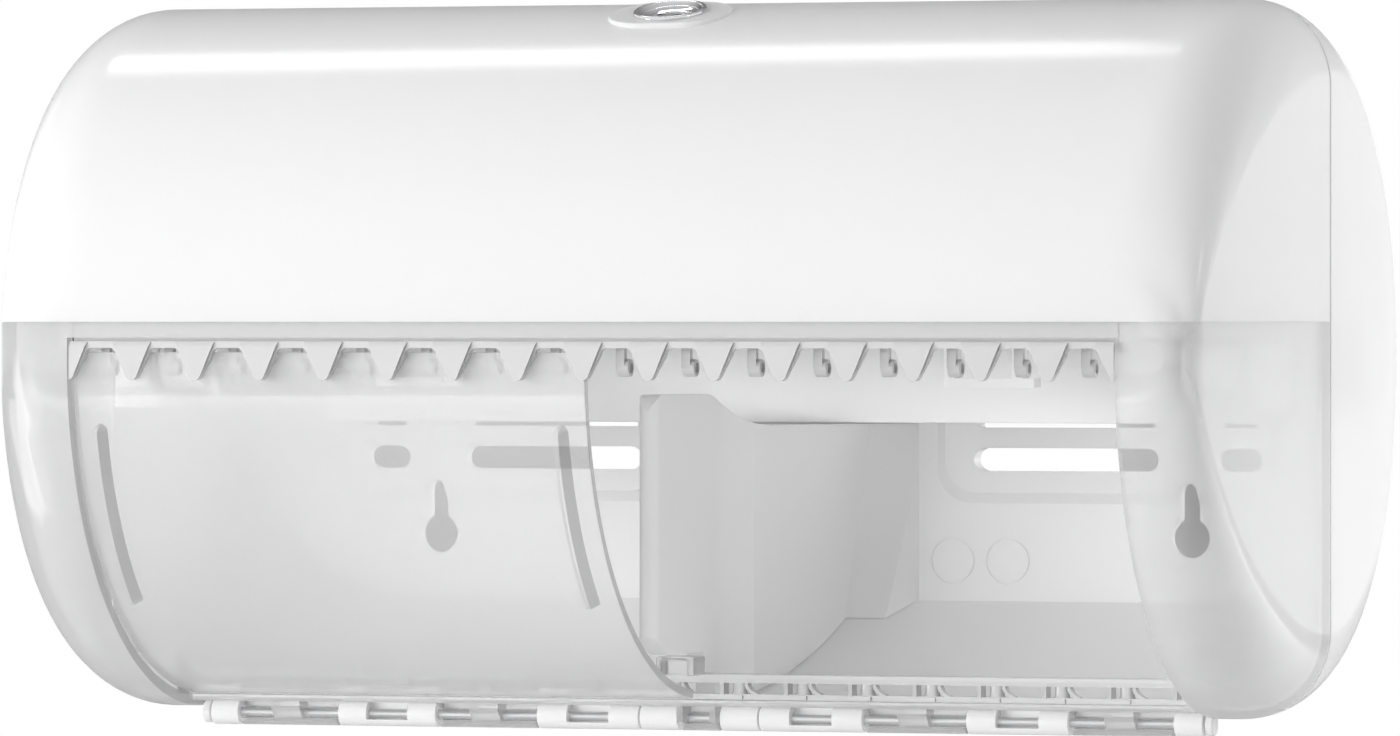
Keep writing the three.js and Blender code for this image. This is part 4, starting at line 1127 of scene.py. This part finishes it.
def plainCard(name, tone, place, size, frontTone=None, upright=False, glow=0):
    s = Shader(name)
    dust = s.noise(studio.dust, studio.dustDetail)
    colour = s.tint(dust, (tone,) * 3, (tone * studio.dustShade,) * 3)
    if frontTone:
        share = s.axis(s.place(), 1) + 0.5
        stops = [(0, frontTone), (studio.fadeEnd, tone)]
        fade = s.node("ShaderNodeValToRGB", {"stops": stops}, {"Fac": share})
        colour = s.blend(studio.dustShare, fade, colour)
    shade = s.node("ShaderNodeBsdfPrincipled",
                   inputs={"Base Color": colour, "Roughness": studio.cardRough})
    if glow:
        seen = s.node("ShaderNodeLightPath", output="Is Camera Ray")
        pale = s.node("ShaderNodeEmission", inputs={"Color": (1, 1, 1, 1), "Strength": 1})
        shade = s.mixShader(seen * glow, shade, pale)
    bm = bmesh.new()
    bmesh.ops.create_grid(bm, x_segments=2, y_segments=2, size=0.5)
    card = meshObject(name, bm)
    card.data.materials.append(s.finish(shade))
    card.scale = (*size, 1)
    card.location = place
    if upright:
        card.rotation_euler = (math.pi / 2, 0, 0)
    return card


def makeStage():
    plainCard("floor", studio.floorTone, (0, 0, studio.floorZ), (studio.floorSize,) * 2,
              glow=studio.floorGlow)
    for name, values in flags.items():
        card = plainCard(name, **values)
        card.visible_camera = card.visible_shadow = card.visible_transmission = False
    world = bpy.data.worlds.new("studio")
    scene.world = world
    w = Shader("studio", world)
    seen, glossy, passed, clearDepth = (w.node("ShaderNodeLightPath", output=name) for name in (
        "Is Camera Ray", "Is Glossy Ray", "Is Transmission Ray", "Transparent Depth"))
    direct = glossy.math("MAXIMUM", passed)
    # painted shade: what is seen through clear plastic is darker than what is seen past it, standing in for
    # the shaded wall behind the object
    seenTone = seen * (1 - (clearDepth > 0.5) * (1 - studio.behindClear))
    strength = seenTone.math("MAXIMUM", direct) + (1 - seen.math("MAXIMUM", direct)) * studio.ambient
    sky = w.node("ShaderNodeBackground", inputs={"Color": (1, 1, 1, 1), "Strength": strength})
    w.node("ShaderNodeOutputWorld", inputs={"Surface": sky})


# A lamp stands to a side and height of the front, in degrees. Its level is the brightness that it alone
# gives a white card facing it. It lights the pieces named, or leaves out those it avoids, and one with an
# aim of its own shows in reflections.
def lampTable():
    inner = [piece.name for piece in scene.objects if piece.type == "MESH" and piece.data.materials
             and piece.data.materials[0] == materials["inner"]]
    return {
        "keySoftbox": {"side": -48, "rise": 8, "size": (1.2, 1.2), "level": 0.58,
                       "avoids": ["centreDivider"]},
        "frontSoftbox": {"side": -20, "rise": 2, "size": (0.9, 0.9), "level": 0.34,
                         "avoids": ["centreDivider"]},
        "lowSoftbox": {"side": -4, "rise": -42, "size": (0.9, 0.9), "level": 0.3},
        "sideSoftbox": {"side": 130, "rise": 5, "size": (1.2, 1.2), "level": 0.79},
        # fills for the pieces inside, which the white cover would leave too dark
        "innerFill": {"side": 40, "rise": -4, "size": (0.8, 0.8), "level": 0.36, "lights": inner},
        "wallFill": {"side": 22, "rise": 3, "size": (0.8, 0.8), "level": 0.11,
                     "lights": ["backShell", "wallLip"]},
        "lipFill": {"side": 50, "rise": -6, "size": (0.5, 0.5), "level": 0.3, "lights": ["wallLip"]},
        "stripLamp": {"side": -142.5, "rise": 57, "distance": 0.6, "size": (0.33, 0.1), "level": 0.15,
                      "aim": (-0.017, -0.118, 0.067), "turned": 9},
        # small lamps that show only as highlights, on the left cheek and on the right corner
        "leftGlint": {"side": -66, "rise": -20, "distance": 0.6, "size": (0.24, 0.5), "level": 0.3,
                      "aim": (-0.126, -0.15, -0.01), "diffuse": False},
        "rightGlint": {"side": 71, "rise": 25, "distance": 0.8, "size": (0.06, 0.12), "level": 0.03,
                       "aim": (0.12, -0.12, 0.02), "diffuse": False},
    }


lampAim, lampDistance = (0, -0.08, 0), 2


def linkLamp(lamp, names, state):
    linked = bpy.data.collections.new(lamp.name + "Pieces")
    for name in names:
        linked.objects.link(bpy.data.objects[name])
    for entry in linked.collection_objects:
        entry.light_linking.link_state = state
    lamp.light_linking.receiver_collection = linked


def areaLight(name, values):
    distance = values.get("distance", lampDistance)
    data = bpy.data.lights.new(name, "AREA")
    data.shape = "RECTANGLE"
    data.size, data.size_y = values["size"]
    data.energy = values["level"] * math.pi ** 2 * distance ** 2
    lamp = bpy.data.objects.new(name, data)
    scene.collection.objects.link(lamp)
    side, rise = math.radians(values["side"]), math.radians(values["rise"])
    away = Vector((math.sin(side) * math.cos(rise), -math.cos(side) * math.cos(rise), math.sin(rise)))
    lamp.location = away * distance + Vector(values.get("aim", lampAim))
    if "aim" in values:
        along = (Vector((1, 0, 0)) - away.x * away).normalized()
        facing = Matrix((along, away.cross(along), away)).transposed()
        turned = Matrix.Rotation(math.radians(values.get("turned", 0)), 3, "Z")
        lamp.rotation_euler = (facing @ turned).to_euler()
    else:
        lamp.rotation_euler = away.to_track_quat("Z", "Y").to_euler()
    lamp.visible_glossy = "aim" in values
    lamp.visible_diffuse = values.get("diffuse", True)
    for key, state in (("lights", "INCLUDE"), ("avoids", "EXCLUDE")):
        if key in values:
            linkLamp(lamp, values[key], state)


makeStage()
for lampName, lampValues in lampTable().items():
    areaLight(lampName, lampValues)
print("stage done")
